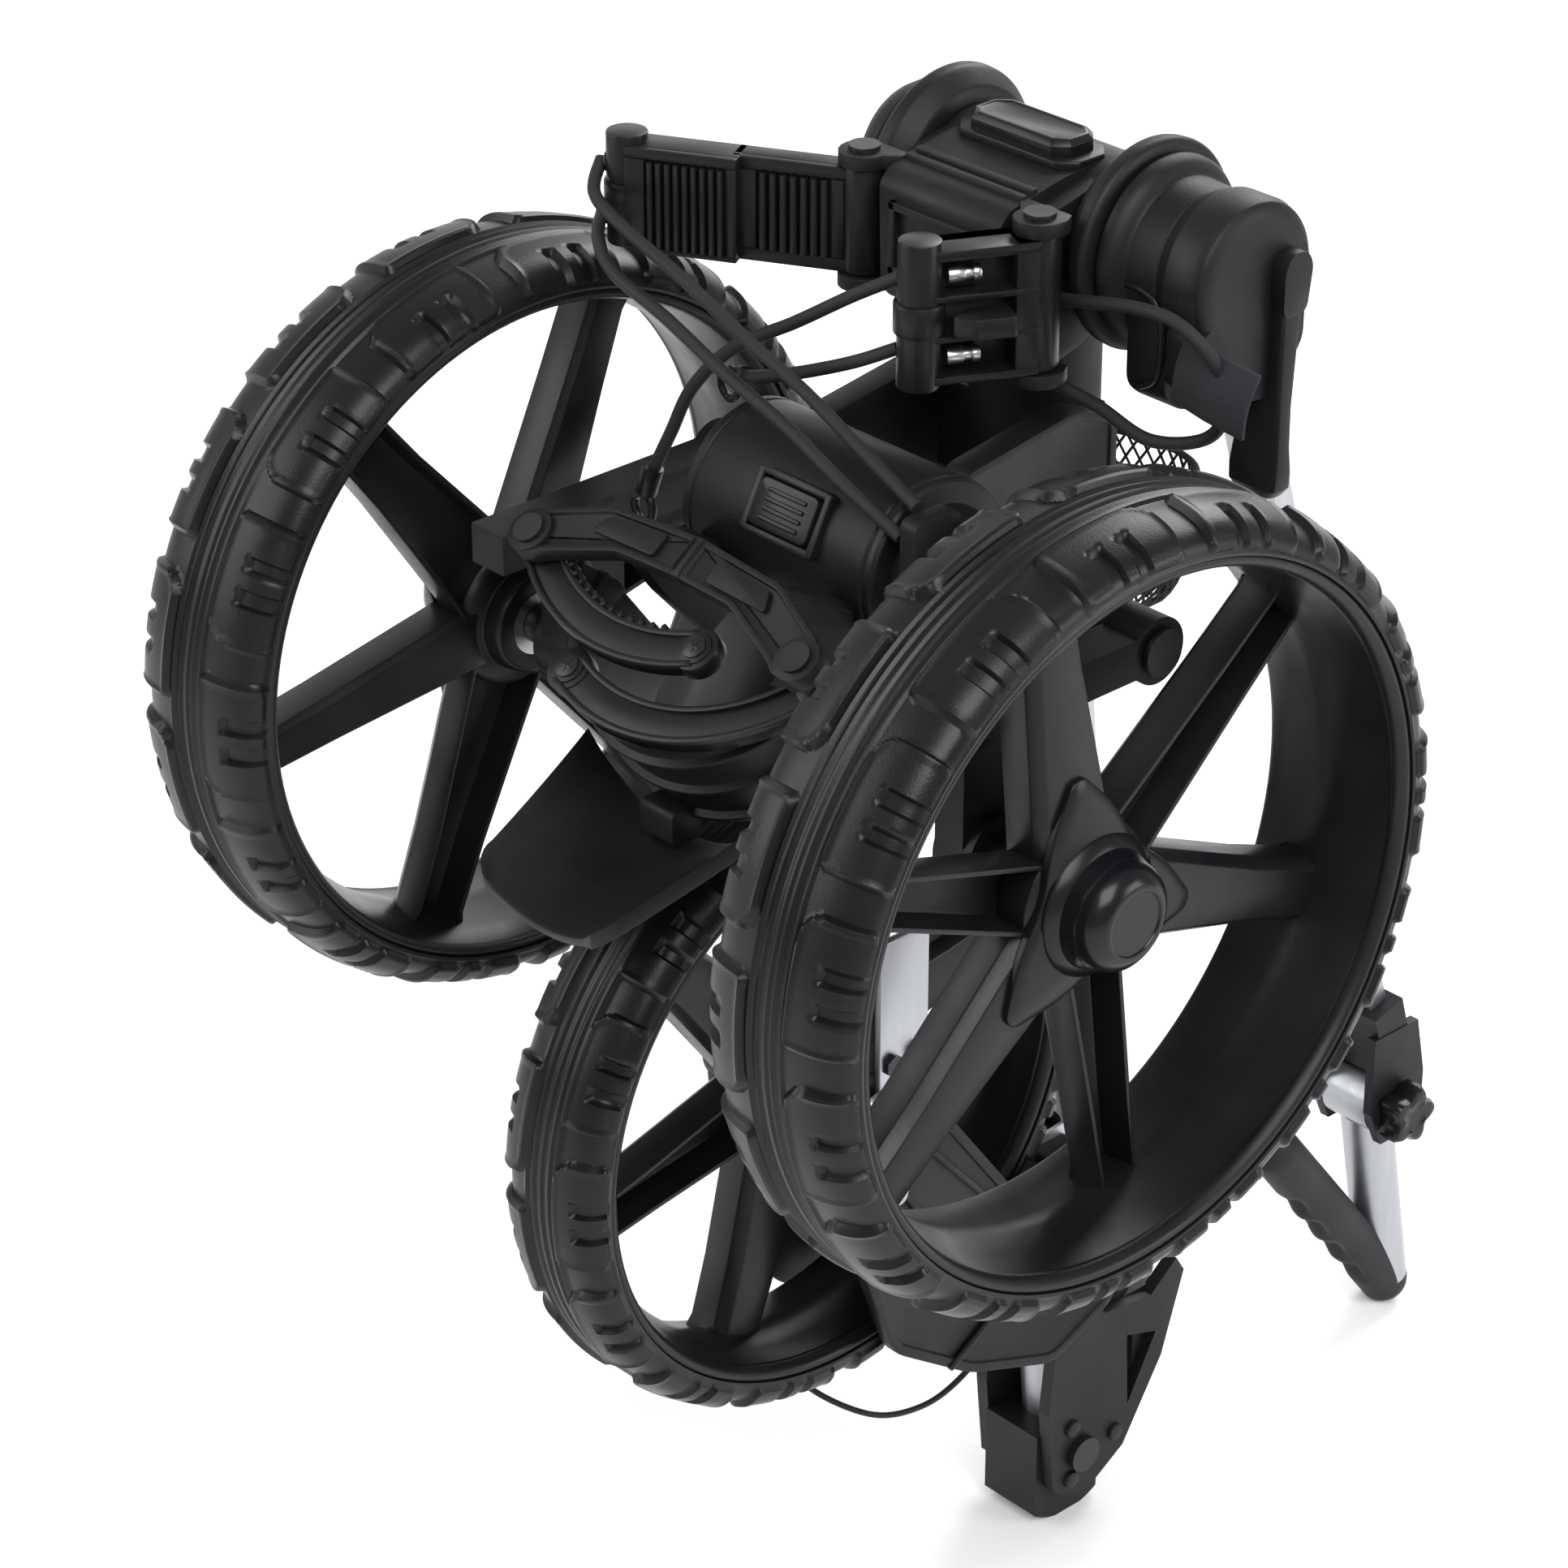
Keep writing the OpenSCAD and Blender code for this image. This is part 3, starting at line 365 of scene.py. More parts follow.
# ---------- wheels ----------
def tyre_surface(r, w, bead, steps):
    """Points over a tyre's section, as (x, radius, normal x, normal radius, distance from the middle)."""
    half, high, power = w / 2, r - bead - 2.3, 2 / 2.7
    fine = []
    for i in range(601):
        t = -pi / 2 + pi * i / 600
        fine.append((half * abs(sin(t)) ** power * (1 if t > 0 else -1),
                     bead + high * abs(cos(t)) ** power))
    lengths = [0.0]
    for a, b in zip(fine, fine[1:]):
        lengths.append(lengths[-1] + hypot(b[0] - a[0], b[1] - a[1]))
    out, k = [], 0
    for i in range(steps):
        want = lengths[-1] * i / (steps - 1)
        while k < 599 and lengths[k + 1] < want:
            k += 1
        a, b = fine[k], fine[k + 1]
        t = (want - lengths[k]) / max(lengths[k + 1] - lengths[k], 1e-9)
        dx, dr = b[0] - a[0], b[1] - a[1]
        size = hypot(dx, dr) or 1
        out.append((a[0] + t * dx, a[1] + t * dr, -dr / size, dx / size, want - lengths[-1] / 2))
    return out


def step(edge, value, soft=0.7):
    t = min(1, max(0, (value - edge) / soft + 0.5))
    return t * t * (3 - 2 * t)


def tread(s, q, pitch, reach):
    """Height of the tread at s along the tyre and q across it: ribs, then comb-shaped blocks."""
    a = abs(q)
    high = 1.1 * max(exp(-((a - c) / 0.8) ** 4) for c in (0.0, 4.2, 8.2))
    high = max(high, 0.6 * exp(-((a - reach + 1.2) / 0.6) ** 4))
    if q < 0:
        s = -s + pitch / 2
    s = (s + pitch / 2) % pitch - pitch / 2
    inner, outer = 0.25 * reach, 0.93 * reach
    across, along = (a - (inner + outer) / 2), s
    round_r = 10 if (s < 0 and across < 0) else 3
    dx, dy = abs(along) - pitch * 0.39 + round_r, abs(across) - (outer - inner) / 2 + round_r
    d = hypot(max(dx, 0), max(dy, 0)) + min(max(dx, dy), 0) - round_r
    slot = 0
    for c in (-0.1, 0.1):
        slot = max(slot, (1 - step(pitch * 0.045, abs(s - c * pitch - pitch * 0.02)))
                   * step(inner + 0.42 * (outer - inner), a))
    lip = exp(-((d + 1.6) / 0.8) ** 2) * 0.6
    return max(high, (2.7 * (1 - step(0, d, 1.1)) + lip) * (1 - slot))


def tyre_mesh(r, w, bead, count, place, turns=768, steps=74):
    """A tyre with ribs, comb blocks and rounded walls."""
    bm = bmesh.new()
    surface = tyre_surface(r, w, bead, steps)
    reach = surface[-1][4]
    pitch = tau * r / count
    rings = []
    for i in range(turns):
        t = tau * i / turns
        s = t * r
        c, d = cos(t), sin(t)
        ring = []
        for x, radius, nx, nr, q in surface:
            h = tread(s, q, pitch, reach)
            rr = radius + nr * h
            ring.append(bm.verts.new((x + nx * h * 0.6, rr * c, rr * d)))
        for x in (w / 2 - 6, 0, 6 - w / 2):
            rr = bead - (0.4 if x else 1.0)
            ring.append(bm.verts.new((x, rr * c, rr * d)))
        rings.append(ring)
    for i in range(turns):
        bridge(bm, rings[i], rings[(i + 1) % turns])
    bmesh.ops.transform(bm, matrix=place, verts=bm.verts)
    return bm


def closed_spoke(w):
    return [(-15.5, -w), (-2.5, -w), (2.6, 3.6 - w), (3.8, 0), (2.6, w - 3.6), (-2.5, w), (-15.5, w),
            (-15.5, w - 2.2), (-1.5, w - 2.4), (0.4, 0), (-1.5, 2.4 - w), (-15.5, 2.2 - w)]


def open_spoke(w):
    return [(2.6, -w), (-13, -w), (-16, 2.4 - w), (-16, w - 2.4), (-13, w), (2.6, w),
            (2.6, w - 2), (-12, w - 2.2), (-13.4, 0), (-12, 2.2 - w), (2.6, 2 - w)]


def rim_mesh(w, lip, phase, hub, place):
    """A deep barrel with its lips, six spokes of two kinds and the hub."""
    bm = bmesh.new()
    half = w / 2
    lathe(bm, [(half - 1.4, lip + 5), (half - 0.6, lip + 4.2), (half - 0.4, lip + 2.8),
               (half - 1.4, lip + 1.2), (half - 3.4, lip + 0.2), (half - 5, lip - 0.4),
               (half - 5.6, lip - 0.1), (half - 7, lip - 0.2), (half * 0.45, lip - 2.6), (4, lip - 4.8),
               (0, lip - 5.2), (-4, lip - 4.8), (-half * 0.5, lip - 2.4), (3.4 - half, lip),
               (1.2 - half, lip + 1.2), (0.4 - half, lip + 2.8), (1.4 - half, lip + 5),
               (5 - half, lip + 5.2), (6 - half, lip + 3.4), (0, lip + 0.2), (half - 6, lip + 3.4),
               (half - 5, lip + 5.2)], steps=160, closed=True)
    lathe(bm, [(hub, 9.5), (hub, 20), (hub - 1, 21), (7, 21), (4, 24), (1, 30), (-12, 30), (-15, 27),
               (-17, 21.5), (10 - half, 21), (8 - half, 19.5), (8 - half, 13.2), (15 - half, 13.2),
               (15 - half, 9.5)], steps=64, closed=True)
    end = lip - 1.2
    for i in range(6):
        a = radians(phase + 60 * i)
        ways = Vector((0, cos(a), sin(a))), Vector((0, -sin(a), cos(a)))
        shape, wide = (open_spoke, OPEN_WIDE) if i % 2 else (closed_spoke, CLOSED_WIDE)
        sections = []
        for rho, width in zip((18, 34, 0.72 * end, end - 6, end), wide):
            sections.append([Vector((x, 0, 0)) + rho * ways[0] + t * ways[1] for x, t in shape(width)])
        loft(bm, sections)
    # the plate that joins the three closed spokes at the hub
    outline = []
    for i in range(3):
        a = radians(phase + 120 * i)
        for rho, t in ((52, -3), (52, 3), (34, 15.5)):
            outline.append((rho * cos(a) - t * sin(a), rho * sin(a) + t * cos(a)))
        b = radians(phase + 120 * i + 60)
        outline.append((26 * cos(b), 26 * sin(b)))
        a += radians(120)
        outline.append((34 * cos(a) + 15.5 * sin(a), 34 * sin(a) - 15.5 * cos(a)))
    outline = rounded(outline, 9, 3)
    centre = [(0.86 * a, 0.86 * b) for a, b in outline]
    loft(bm, [[(2, a, b) for a, b in outline], [(5.4, a, b) for a, b in outline],
              [(7.4, a, b) for a, b in centre]])
    bmesh.ops.transform(bm, matrix=place, verts=bm.verts)
    return bm


def cap_mesh(place, base=7.0, top=26.5):
    """A domed hub cap with a flat round face."""
    bm = bmesh.new()
    lathe(bm, [(base, 0), (base, 27), (base + 1.6, 26.4), (base + 4, 22.6), (base + 9, 21),
               (top - 7, 20.4), (top - 3.4, 18.6), (top - 0.9, 15.2), (top - 0.3, 13.2),
               (top - 0.5, 12.4), (top - 1.1, 12), (top - 1.1, 0)], steps=64)
    bmesh.ops.transform(bm, matrix=place, verts=bm.verts)
    return bm


def wheel_places():
    """Where the right, left and front wheels go; the left one is a mirror image."""
    return (Matrix.Translation((TRACK_HALF, 0, 0)),
            Matrix.Translation((-TRACK_HALF, 0, 0)) @ Matrix.Scale(-1, 4, (1, 0, 0)),
            Matrix.Translation(FRONT_AT))


def build_tyres():
    right, left, front = wheel_places()
    piece("rear_tyre_right", tyre_mesh(REAR_R, REAR_W, REAR_BEAD, REAR_LUGS, right), rubber(),
          "rear_wheel_right", ["tyre_right"])
    piece("rear_tyre_left", tyre_mesh(REAR_R, REAR_W, REAR_BEAD, REAR_LUGS, left), rubber(),
          "rear_wheel_left", ["tyre_left"])
    piece("front_tyre", tyre_mesh(FRONT_R, FRONT_W, FRONT_BEAD, FRONT_LUGS, front, 720, 62), rubber(),
          "front_wheel", ["tyre_front"])


def build_rims():
    right, left, front = wheel_places()
    for name, args, place, body, node in (
            ("rear_rim_right", (REAR_W, REAR_LIP, RIGHT_PHASE, REAR_HUB), right,
             "rear_wheel_right", "rim_right"),
            ("rear_rim_left", (REAR_W, REAR_LIP, LEFT_PHASE, REAR_HUB), left,
             "rear_wheel_left", "rim_left"),
            ("front_rim", (FRONT_W, FRONT_LIP, FRONT_PHASE, FRONT_HUB), front,
             "front_wheel", "rim_front")):
        piece(name, rim_mesh(*args, place), black(), body, [node], bevel=0.5, steps=2, crease=34)
    piece("rear_cap_right", cap_mesh(right), gloss(), "rear_wheel_right", ["hub_cap_right"])
    piece("rear_cap_left", cap_mesh(left), gloss(), "rear_wheel_left", ["hub_cap_left"])


# ---------- console ----------
def build_console():
    y = DRUM[0]
    bm = bmesh.new()
    lathe(bm, [(-40, 0), (-40, 27.4), (-39.4, 28), (-14, 28), (-13.6, 27.5), (-13.2, 28), (39.4, 28),
               (40, 27.4), (40, 0)], DRUM)
    prism(bm, rounded([(81, 189), (86, 194), (112, 199.5), (140, 202), (140, 150), (112, 133),
                       (86, 143), (82, 150)], 3), -31, 31)
    # raised step across the top and the frame of the front panel
    for a, b in (((98, 196.6), (101, 198.6)), ((93, 195.4), (95.6, 197.4))):
        prism(bm, [(a[0], a[1] - 3), (b[0], a[1] - 3), b, (a[0], b[1] - 0.4)], -30, 30)
    for x0, x1, z0, z1 in ((-24, 24, 181, 184), (-24, 24, 156, 159), (-24, -21, 156, 184),
                           (21, 24, 156, 184)):
        block(bm, (x0, x1), (78.8, 84), (z0, z1))
    for s in (-1, 1):
        prism(bm, rounded([(98, 192), (128, 199), (134, 180), (120, 138), (98, 132)], 4),
              30 * s, 39.6 * s)
    for s, low in ((-1, 149), (1, 139)):
        for z0, z1 in ((190.6, 196.2), (low - 6, low - 0.6)):
            tip = [(45 + 9.8 * cos(radians(t)), 87 + 9.8 * sin(radians(t)))
                   for t in range(180, 361, 20)]
            prism(bm, [(s * a, b) for a, b in tip + [(54.8, 91), (52, 96), (30, 96), (30, 92)]],
                  z0, z1, "z")
    piece("console_casing", bm, grained(), "frame", ["console_body"], bevel=0.9)
    bm = bmesh.new()
    base = [(a, b + y - 10) for a, b in ((-29, -6), (-23, -11.6), (23, -11.6), (29, -6), (29, 6),
                                         (23, 11.6), (-23, 11.6), (-29, 6))]
    prism(bm, [(a * 0.88, (b - y + 10) * 0.93 + y - 10) for a, b in base], 196.4, 201, "z")
    levels = ((0.885, 0.945, 200.6), (0.885, 0.945, 207.4), (0.82, 0.8, 209.6),
              (0.78, 0.68, 209.8), (0.77, 0.66, 209.2))
    loft(bm, [[(a * k, (b - y + 10) * m + y - 10, h) for a, b in base] for k, m, h in levels])
    piece("console_push_button", bm, gloss(), "push_button", ["push_button"], bevel=0.6)
    bm = bmesh.new()
    prism(bm, [(a * 1.06, (b - y + 10) * 1.1 + y - 10) for a, b in base], 199.6, 203.2, "z")
    piece("push_button_collar", bm, black(), "frame", bevel=0.7)
    bm = bmesh.new()
    lathe(bm, [(-40.4, 0), (-40.4, 22.9), (-56, 22.9), (-56.4, 28), (-57.4, 30.4), (-62.6, 31),
               (-63.4, 30.4), (-63.8, 30.9), (-68, 30.2), (-73, 27.4), (-77, 21.6), (-78.8, 13),
               (-79.3, 0)], DRUM)
    piece("console_left_dome", bm, grained(), "frame", ["console_cap_left"])
    bm = bmesh.new()
    lathe(bm, [(40.4, 0), (40.4, 22.9), (56, 22.9), (56.8, 34.4), (58.2, 35.6), (61, 35.4), (64, 33.4),
               (65.4, 30.8), (66.6, 29), (80, 28.6), (80.6, 28.1), (81.2, 28.6), (84, 29.2), (86, 30.6),
               (98, 30.6), (101.6, 29.4), (103.6, 26.4), (104, 22), (104, 0)], DRUM)
    prism(bm, rounded([(110.6, 172), (110.6, 132), (120, 124), (144, 124), (146, 176)], 5), 67, 86)
    prism(bm, rounded([(109.6, 160), (109.6, 139), (122, 130), (150, 127), (164, 146), (164, 184)], 4),
          86.6, 103.8)
    piece("console_right_housing", bm, grained(), "frame", ["console_end_right"], bevel=1.0)
    bm = bmesh.new()
    path = [Vector((66.5, 109.8, 170.5)), Vector((74, 109.4, 170.5)), Vector((81, 109.2, 168)),
            Vector((84.6, 109.2, 160)), Vector((84.8, 109.2, 148)), Vector((81.6, 109.4, 138)),
            Vector((75, 110, 133.6))]
    sweep(bm, spline(path, 5), 1.3, 10)
    piece("console_d_rib", bm, black(), "frame")


def build_lever():
    """The brake paddle: a forked top, a flat blade and a flared round end."""
    bm = bmesh.new()
    for x0, x1 in ((87.2, 97.6), (100.4, 110.8)):
        prism(bm, rounded([(144.6, 160), (144.6, 178), (148, 184), (156, 184), (159.6, 178),
                           (157, 160)], 4), x0, x1)
    sections = []
    for zz, wide, front, back in ((166, 23.4, 144.8, 156), (150, 23.2, 145, 155), (124, 22, 145.4, 154),
                                  (108, 22.4, 145.2, 154), (98, 24, 144, 154.4), (92, 23, 143.6, 154.6),
                                  (88.6, 18, 145, 153.6), (87.4, 9, 147, 152)):
        x0, x1 = 99 - wide / 2, 99 + wide / 2
        sections.append([(a, b, zz) for a, b in rounded([(x0, front), (x1, front), (x1, back),
                                                         (x0, back)], 3.4, 3)])
    loft(bm, sections)
    rod(bm, (88, 152, 176), (110, 152, 176), 5)
    piece("brake_paddle", bm, grained(), "brake_lever", ["brake_lever"], bevel=0.8)
    bm = bmesh.new()
    outer = [(101, 104, 163), (137, 103, 159), (133, 100, 134), (98, 101, 138)]
    cuts = [[Vector(outer[i]) * (1 - k / 8) + Vector(outer[3 - i]) * (k / 8)
             + Vector((0, -2.2 * sin(pi * k / 8), 0)) for i in (0, 1)] for k in range(9)]
    loft(bm, [[a, (a + b) / 2 + Vector((0, -1, 0)), b, b + Vector((0, 1.8, 0)),
               (a + b) / 2 + Vector((0, 0.8, 0)), a + Vector((0, 1.8, 0))] for a, b in cuts])
    piece("strap_flap", bm, woven(), "frame", bevel=0.4)


def build_handle():
    """Collars, arms, bracket, knob and the moulded grip of the folded handle."""
    bm = bmesh.new()
    for s in (-1, 1):
        lathe(bm, [(s * 40.6, 23.1), (s * 40.6, 30), (s * 41.6, 33.6), (s * 47, 38.4), (s * 48.6, 39.8),
                   (s * 53.4, 40.2), (s * 55.2, 38.6), (s * 55.8, 34.6), (s * 55.4, 23.1)], DRUM,
              closed=True)
        prism(bm, rounded([(150, 206), (192, 162), (186, 138), (150, 142)], 6), 41.2 * s, 54.8 * s)
    rod(bm, (-55, 180, 148), (55, 180, 148), 11, 40)
    prism(bm, rounded([(171, 152), (189, 160), (211, 124), (196, 112)], 4), -15, 15)
    piece("handle_collars", bm, grained(), "handle", ["handle_yoke"], bevel=0.9)
    bm = bmesh.new()
    sections = []
    for x, middle in ((18.2, 6), (18.4, 11), (20, 12.4), (27, 12.4), (29.4, 11), (30, 8.6), (29.2, 6.4),
                      (29.2, 2)):
        ring = []
        for k in range(60):
            t = tau * k / 60
            r = middle * (1 + 0.17 * cos(5 * t)) if middle > 7 else middle
            ring.append((x, KNOB[0] + r * cos(t), KNOB[1] + r * sin(t)))
        sections.append(ring)
    loft(bm, sections)
    rod(bm, (-22, *KNOB), (18.4, *KNOB), 3.9, 20)
    piece("star_knob", bm, gloss(), "handle_knob", ["handle_knob"])
    foot, top = Vector((0, 374.5, -408.5)), Vector((0, 296, -308))
    way = (top - foot).normalized()
    length = (top - foot).length
    path = [foot - way * 11.2, foot - way * 10, foot - way * 7, foot - way * 3]
    path += [foot + way * length * i / 60 for i in range(61)]
    path += [top + way * 4, top + way * 8, top + way * 10.6, top + way * 11.3]
    whole = length + 22.5

    def grip_radius(share, angle):
        s = share * whole
        end = min(s, whole - s)
        r = 11.4 * sqrt(max(0.02, 1 - (1 - min(end, 9) / 9) ** 2))
        dent = sum(exp(-((s - c) / 7.2) ** 4) for c in (38, 60, 82, 104))
        facing = exp(-((angle - grip_side) / 0.62) ** 4)
        return r - (5.6 * dent * facing if end > 9 else 0)

    grip_side = pi
    bm = bmesh.new()
    sweep(bm, path, grip_radius, 48)
    piece("moulded_grip", bm, cord_rubber(), "handle_loop", ["handle_grip"])


# ---------- bag brackets ----------
def panel(bm, outline, lo, hi, plane="x", border=2.0, depth=1.0):
    """A prism with a shallow recess inside a border on its far face."""
    before = set(bm.faces)
    prism(bm, outline, lo, hi, plane)
    axis = "xyz".index(plane)
    way = 1 if hi > lo else -1

    def rank(face):
        return (face.calc_center_median()[axis] - lo) * way + len(face.verts) * 0.001
    face = max((f for f in bm.faces if f not in before), key=rank)
    bmesh.ops.recalc_face_normals(bm, faces=[f for f in bm.faces if f not in before])
    bmesh.ops.inset_region(bm, faces=[face], thickness=border)
    bmesh.ops.inset_region(bm, faces=[face], thickness=0.5)
    push = Vector((0, 0, 0))
    push[axis] = depth if hi < lo else -depth
    bmesh.ops.translate(bm, vec=push, verts=face.verts)


def disc(bm, at, r, lo, hi, steps=40):
    turns = [tau * i / steps for i in range(steps)]
    prism(bm, [(at[0] + r * cos(t), at[1] + r * sin(t)) for t in turns], lo, hi, "z")


def build_left_arm():
    bm = bmesh.new()
    disc(bm, (0, 0), 8, 0, 41)
    block(bm, (2, 50), (-6, 3.4), (0, 41))
    for x0, x1, z0, z1 in ((2, 50, 0, 5), (2, 50, 36, 41), (6, 11, 5, 36), (40, 50, 5, 36)):
        block(bm, (x0, x1), (3, 6), (z0, z1))
    block(bm, (46, 94), (-6, 8.4), (0, 41))
    for x0, x1, z0, z1 in ((46, 90, 0, 2.2), (46, 90, 36.8, 41), (46, 50, 2, 37), (82, 90, 2, 37)):
        block(bm, (x0, x1), (8, 11), (z0, z1))
    disc(bm, (92, 1), 8, 0, 44)
    disc(bm, (92, 1), 9, 17, 25)
    for s in (10, 31):
        sweep(bm, [Vector((98, 1, s)), Vector((100.6, 1, s))], 4.2, 20)
    piece("left_arm", bm, black(), "upper_arm_left", ["upper_arm_left"], bevel=0.8, place=LEFT_ARM)
    bm = bmesh.new()
    for i in range(7):
        prism(bm, rounded([(12 + i * 4, 3.2), (12 + i * 4, 7.4), (14.6 + i * 4, 7.4),
                           (14.6 + i * 4, 3.2)], 1), 5.4, 35.6, "z")
    for i in range(9):
        a = 51 + i * 3.45
        prism(bm, rounded([(a, 8.2), (a, 12.4), (a + 2.2, 12.4), (a + 2.2, 8.2)], 0.9), 2.6, 36.4, "z")
    piece("left_arm_pads", bm, rubber(), "upper_arm_left", ["upper_pads_left"], place=LEFT_ARM)


def build_right_arm():
    bm = bmesh.new()
    disc(bm, (0, 0), 8, 0, 51)
    block(bm, (2, 47), (-8, -1), (0, 51))
    for z0, z1 in ((0, 3), (16, 18.5), (31.5, 34), (47, 51)):
        block(bm, (2, 46), (-8, 9), (z0, z1))
    block(bm, (2, 11), (-7.6, 8.6), (0, 51))
    disc(bm, (45, 2), 8, -2, 54)
    disc(bm, (45, 2), 9.4, 19, 31)
    prism(bm, rounded([(14, 8.4), (30, 8.4), (37, 15), (30, 21), (14, 21)], 2), 21, 29, "z")
    piece("right_arm_cage", bm, black(), "upper_arm_right", ["upper_arm_right"], bevel=0.8,
          place=RIGHT_ARM)
    bm = bmesh.new()
    for s in (9, 40):
        for x0, x1, r in ((23, 26, 3.2), (26, 29, 2.6), (29, 35.4, 3.3)):
            sweep(bm, [Vector((x0, 3, s)), Vector((x1, 3, s))], r, 20)
    piece("cord_ferrules", bm, steel(), "upper_arm_right", ["cord_crimps"], bevel=0.4, place=RIGHT_ARM)


def arc_points(a, b, bow, steps):
    """Points and outward directions along an arc from a to b that bows downwards."""
    chord = hypot(b[0] - a[0], b[1] - a[1])
    r = (chord * chord / 4 + bow * bow) / (2 * bow)
    turn = atan2(b[1] - a[1], b[0] - a[0])
    c = ((a[0] + b[0]) / 2 - (r - bow) * sin(turn), (a[1] + b[1]) / 2 + (r - bow) * cos(turn))
    half = atan2(chord / 2, r - bow)
    out = []
    for i in range(steps + 1):
        t = turn - pi / 2 - half + 2 * half * i / steps
        out.append((c[0] + r * cos(t), c[1] + r * sin(t), cos(t), sin(t)))
    return out


def section(p, lo, hi, z0, z1):
    """A rectangle across an arc at p, from lo to hi outwards and from z0 to z1."""
    inner = (p[0] + p[2] * lo, p[1] + p[3] * lo)
    outer = (p[0] + p[2] * hi, p[1] + p[3] * hi)
    return [(*inner, z0), (*outer, z0), (*outer, z1), (*inner, z1)]


def cross_screw(bm, at, z):
    disc(bm, at, 4.6, z - 1, z + 0.6, 24)
    for a, b in ((2.6, 0.7), (0.7, 2.6)):
        block(bm, (at[0] - a, at[0] + a), (at[1] - b, at[1] + b), (z + 0.6, z + 0.9))


def build_lower_arms():
    for name, side, a, b, bow, z, tip in (("left", -1, (-71, 0), (22, -10), 14, (-4.5, 3.5), (22, -10)),
                                          ("right", 1, (-30, -35), (71, 0), 20, (-13, -5), (-30, -35))):
        bm = bmesh.new()
        points = arc_points(a, b, bow, 28)
        loft(bm, [section(p, -7.5, 7.5, z[0] + 0.5, z[1] - 1.6) for p in points])
        loft(bm, [section(p, 5, 7.5, z[0] + 0.5, z[1]) for p in points])
        loft(bm, [section(p, -7.5, -5, z[0] + 0.5, z[1]) for p in points])
        if side < 0:
            for p in arc_points(a, b, bow, 17)[2:15]:
                loft(bm, [section((p[0] + k * p[3], p[1] - k * p[2], p[2], p[3]), -10.2 + abs(k), -7,
                                  z[0] + 1, z[1] - 0.6) for k in (-1.2, 0, 1.2)])
        disc(bm, (LOWER_PIN * side, 0), 8.4, *z)
        disc(bm, tip, 9, z[0], z[1] - 1)
        disc(bm, tip, 6.6, z[0], z[1] - 0.2)
        piece("lower_arm_band_" + name, bm, black(), "lower_arm_" + name, ["lower_arm_" + name],
              bevel=0.6, place=TILT)
        bm = bmesh.new()
        cross_screw(bm, tip, z[1])
        piece("cross_screw_" + name, bm, dark_metal(), "lower_arm_" + name, ["arm_screws_" + name],
              bevel=0.15, place=TILT)


def build_lower_bracket():
    bm = bmesh.new()
    for s in (-1, 1):
        outline = rounded([(79, -6), (74, 9), (44, 22), (1, 25), (1, 8), (30, 7), (60, -5),
                           (66, -9)], 3)
        panel(bm, [(s * a, b) for a, b in outline], 4, 11, "z", 2.2, 1.2)
        disc(bm, (LOWER_PIN * s, 0), LOWER_PIN_R, 4, 11.6)
        prism(bm, [(s * a, b) for a, b in rounded([(14, 11), (46, 10), (42, 18), (14, 21)], 2)],
              9.6, 11.4, "z")
    block(bm, (-3, 3), (8, 25), (4, 11))
    piece("lower_bracket", bm, grained(), "frame", ["lower_bracket_plate"], bevel=0.7, place=TILT)
    bm = bmesh.new()
    profile = [(51, -70), (54, -70), (54, -65), (57, -64.6), (57, -62.4), (54, -62), (54, -47),
               (57, -46.6), (57, -44.4), (54, -44), (54, -29), (57, -28.6), (57, -26.4), (54, -26),
               (54, -16), (56, -15), (56, -14), (51, -14)]
    angles = [radians(182.4 + 175.2 * i / 56) for i in range(57)]
    loft(bm, [[(r * cos(t), 8 + r * sin(t), z) for r, z in profile] for t in angles])
    for s in (-1, 1):
        disc(bm, (LOWER_PIN * s, 0), LOWER_PIN_R, -21, -14)
        block(bm, sorted((LOWER_PIN * s, 45 * s)), (-5, 5), (-21, -14))
    bmesh.ops.transform(bm, matrix=TILT, verts=bm.verts)
    prism(bm, rounded([(-58, -20), (-44, -20), (-44, -6), (-58, -6)], 3), -9, 9)
    piece("bag_cup", bm, grained(), "frame", ["bag_base"], bevel=0.5)
    bm = bmesh.new()
    sections = []
    for i in range(31):
        s = 1 + 71 * i / 30
        wide = 25 + 12 * sqrt(max(0, 1 - (1 - min(s, 13) / 13) ** 2)) + max(0, s - 13) * 11 / 59
        ring = []
        for r, way in ((62, 1), (58.8, -1)):
            for k in range(25):
                x = wide * (k / 12 - 1) * way
                lip = 1.6 * max(0, abs(k / 12 - 1) * 6 - 5) * way
                v = sqrt(r * r - x * x) + lip
                ring.append((x, -125 + 0.985 * s + 0.174 * v, 24 + 0.174 * s - 0.985 * v))
        sections.append(ring)
    loft(bm, sections)
    piece("bag_scoop", bm, grained(), "frame", ["bag_rest"], bevel=0.4)
    bm = bmesh.new()
    prism(bm, rounded([(-15, -9), (15, -9), (15, 9), (-15, 9)], 3), -4.6, 5.4, "z")
    for i in range(4):
        prism(bm, rounded([(-10, i * 3.6 - 6.4), (10, i * 3.6 - 6.4), (10, i * 3.6 - 4.6),
                           (-10, i * 3.6 - 4.6)], 0.8), 5.2, 6.3, "z")
    piece("latch_key", bm, gloss(), "latch_button", ["latch_button"], bevel=0.7, place=LATCH)
    bm = bmesh.new()
    for s in (-1, 1):
        prism(bm, rounded([(15.6 * s, -12), (19 * s, -12), (19 * s, 12), (15.6 * s, 12)], 1),
              -2, 4.4, "z")
        block(bm, (-17, 17), sorted((9.6 * s, 12.4 * s)), (-2, 4.4))
    piece("latch_surround", bm, black(), "frame", bevel=0.8, place=LATCH)


